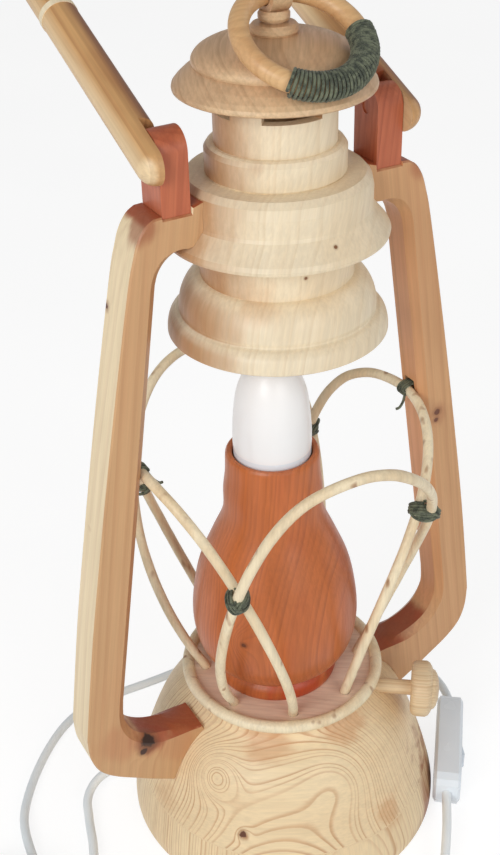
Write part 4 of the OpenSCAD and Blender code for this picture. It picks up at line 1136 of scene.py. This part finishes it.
def finish_column():
    cherry = wood(
        "vase_cherry", (203, 112, 55), (122, 56, 27), pith=(-66, 50, 120),
        along=(0.04, -0.03, 1), spacing=2.6, rings=0.36, warp=4.2, stretch=0.05,
        dents=[((-34, -5, 174), 15, 5), ((-39, -26, 137), 9, 9)],
        knots=[((-35.7, -24.8, 135.4), 1.2, (110, 56, 26))],
        patch=((176, 84, 38), 0.6, 34), fibre=0.06, rough=0.4, coat=0.08,
        stains_and_shade=[((-6, -28, 95), 15, 0.8, (186, 64, 30)), ((22, -20, 96), 15, 0.8, (178, 56, 26)),
                # The patch at (36, -22, 140), on the vase's right side, is painted shade.
                ((36, -22, 140), 16, 0.4, (176, 84, 44))],
    )
    make_vase(cherry)
    red = wood("ear_redwood", (200, 112, 76), (146, 62, 38), pith=(-30, 60, 360),
               along=(0.1, 0, 1), spacing=2.4, rings=0.5, warp=1.6,
               patch=((162, 76, 48), 0.5, 18), fibre=0.07, rough=0.42)
    put(red, "left_ear", "right_ear", "bail_pegs")


def finish_bail():
    hoop = wood("hoop_stick", (224, 182, 130), (184, 126, 76), pith=(60, -20, 420),
                along=(1, 0, 0), spacing=2.2, rings=0.35, warp=2.5,
                patch=((208, 156, 106), 0.5, 16), fibre=0.05, rough=0.4)
    put(hoop, "hoop_ring")
    lean = math.radians(67)
    along = (0, math.sin(lean), math.cos(lean))
    stick = wood("bail_stick", (216, 168, 112), (160, 104, 62), pith=(0, -2, 384), along=along,
                 spacing=3.4, rings=0.5, warp=3.0, stretch=0.06,
                 # Lower left sides are painted cream as painted light, and upper right sides dark
                 # brown as painted shade.
                 sides=[((-0.85, -0.5, -0.1), 0.6, 0.95, (240, 212, 168)),
                        ((0.75, -0.1, 0.65), 0.55, 1.0, (142, 88, 54))],
                 stains_and_shade=[((52, 8, 388), 13, 0.85, (150, 58, 34))],
                 patch=((186, 130, 82), 0.6, 22), fibre=0.07, rough=0.42)
    put(stick, "bail_left_stick", "bail_right_stick", "bail_bow")
    ring = wood("joint_ring", (246, 230, 198), (222, 192, 150), along=along, spacing=2.0, rings=0.3,
                fibre=0.05)
    put(ring, "bail_joint_rings")


def finish_twigs():
    twig = wood("twig_peeled", (248, 232, 198), (216, 182, 134),
                spacing=6.0, rings=0.2, warp=3.0, patch=((222, 188, 140), 0.5, 20),
                specks=((156, 106, 66), 0.6, 6), fibre=0.07, rough=0.44)
    put(twig, "gallery_ring")
    make_twigs(twig)


def finish_fittings():
    white = plain("white_case", (240, 248, 255), 0.24, grain=0.02)
    put(white, "switch_front", "switch_back", "switch_rocker", "plug_body", "bulb_housing",
        "holder_sleeve", "holder_core")
    brass = plain("cap_brass", (206, 174, 104), 0.28, Metallic=1.0)
    put(brass, "screw_shell", "centre_contact", "bulb_cap")
    steel = plain("zinc_steel", (196, 196, 194), 0.32, scale=400.0, Metallic=1.0)
    put(steel, "base_screws", "tie_pins", "threaded_tube", "tube_nuts", "tube_washer",
        "switch_screws", "plug_pins")
    frosted = plain("frosted_globe", (252, 252, 252), 0.34, grain=0.01, depth=0.004,
                    Coat_Weight=0.2)
    put(frosted, "bulb_globe")


waxed = twine_finish()
finish_base()
finish_arms()
finish_hood()
finish_column()
finish_bail()
finish_twigs()
finish_fittings()
make_hoop_wrap(waxed)
make_crossing_ties(waxed)
make_arm_ties(waxed)

# Floor, world and lights


FLOOR_DROP, FLOOR_GLOW = 0.0002, 0.79


def make_floor():
    """White floor that glows to the camera and is plain white to the object."""
    half = 3.0
    mesh = bpy.data.meshes.new("floor")
    mesh.from_pydata([(-half, -half, 0), (half, -half, 0), (half, half, 0), (-half, half, 0)], [],
                     [(0, 1, 2, 3)])
    floor = link("floor", mesh)
    floor.location.z = -FLOOR_DROP
    g = new_material("floor_white")
    cloud = g.noise(g.place(), 3.0)
    tone = g.mix(g.span(cloud, 0.3, 0.7), srgb(150, 150, 150), srgb(154, 154, 154))
    seen = g.node("BsdfDiffuse", {"Color": tone})
    glow = g.node("Emission", {"Color": (1, 1, 1, 1), "Strength": FLOOR_GLOW})
    direct = g.ray("Is Camera Ray")
    for name in ("Is Glossy Ray", "Is Transmission Ray"):
        direct = g.math("MAXIMUM", direct, g.ray(name))
    bright = g.node("AddShader", {0: seen, 1: glow})
    bounce = g.node("BsdfDiffuse", {"Color": srgb(232, 232, 232)})
    mesh.materials.append(g.end(g.node("MixShader", {0: direct, 1: bounce, 2: bright})))


SKY_LOW, SKY_HIGH = 0.72, 0.34
AIM_Z = 0.22


def make_world():
    """White to the camera; to the object a room that is darker overhead."""
    world = bpy.data.worlds.new("studio")
    g = Shading(world)
    height = g.node("SeparateXYZ", {0: g.node("TexCoord", {}, "Generated")}, 2)
    room = g.node("MapRange", {0: height, 1: 0.1, 2: 0.9, 3: SKY_LOW, 4: SKY_HIGH})
    shown = g.math("MAXIMUM", g.ray("Is Camera Ray"), g.ray("Is Transmission Ray"))
    strength = g.node("MapRange", {0: shown, 3: room, 4: 1.0})
    bpy.context.scene.world = g.end(g.node("Background", {"Strength": strength}), "OutputWorld")


def area_light(name, azimuth, elevation, distance, size, power):
    """Soft light round the lamp; azimuth 0 is in front and 90 to the right."""
    a, e = math.radians(azimuth), math.radians(elevation)
    aim = Vector((0, 0, AIM_Z))
    way = Vector((math.sin(a) * math.cos(e), -math.cos(a) * math.cos(e), math.sin(e)))
    data = bpy.data.lights.new(name, "AREA")
    data.shape = "DISK"
    data.size = size
    data.energy = power
    light = link(name, data)
    light.location = aim + way * distance
    light.rotation_euler = way.to_track_quat("Z", "Y").to_euler()


make_floor()
make_world()
area_light("key_light", -58, 26, 1.5, 0.8, 9.0)
area_light("front_light", 5, 22, 1.6, 0.9, 5.0)
area_light("side_light", 80, 30, 1.6, 0.9, 2.0)

bpy.context.scene.view_settings.view_transform = "Standard"
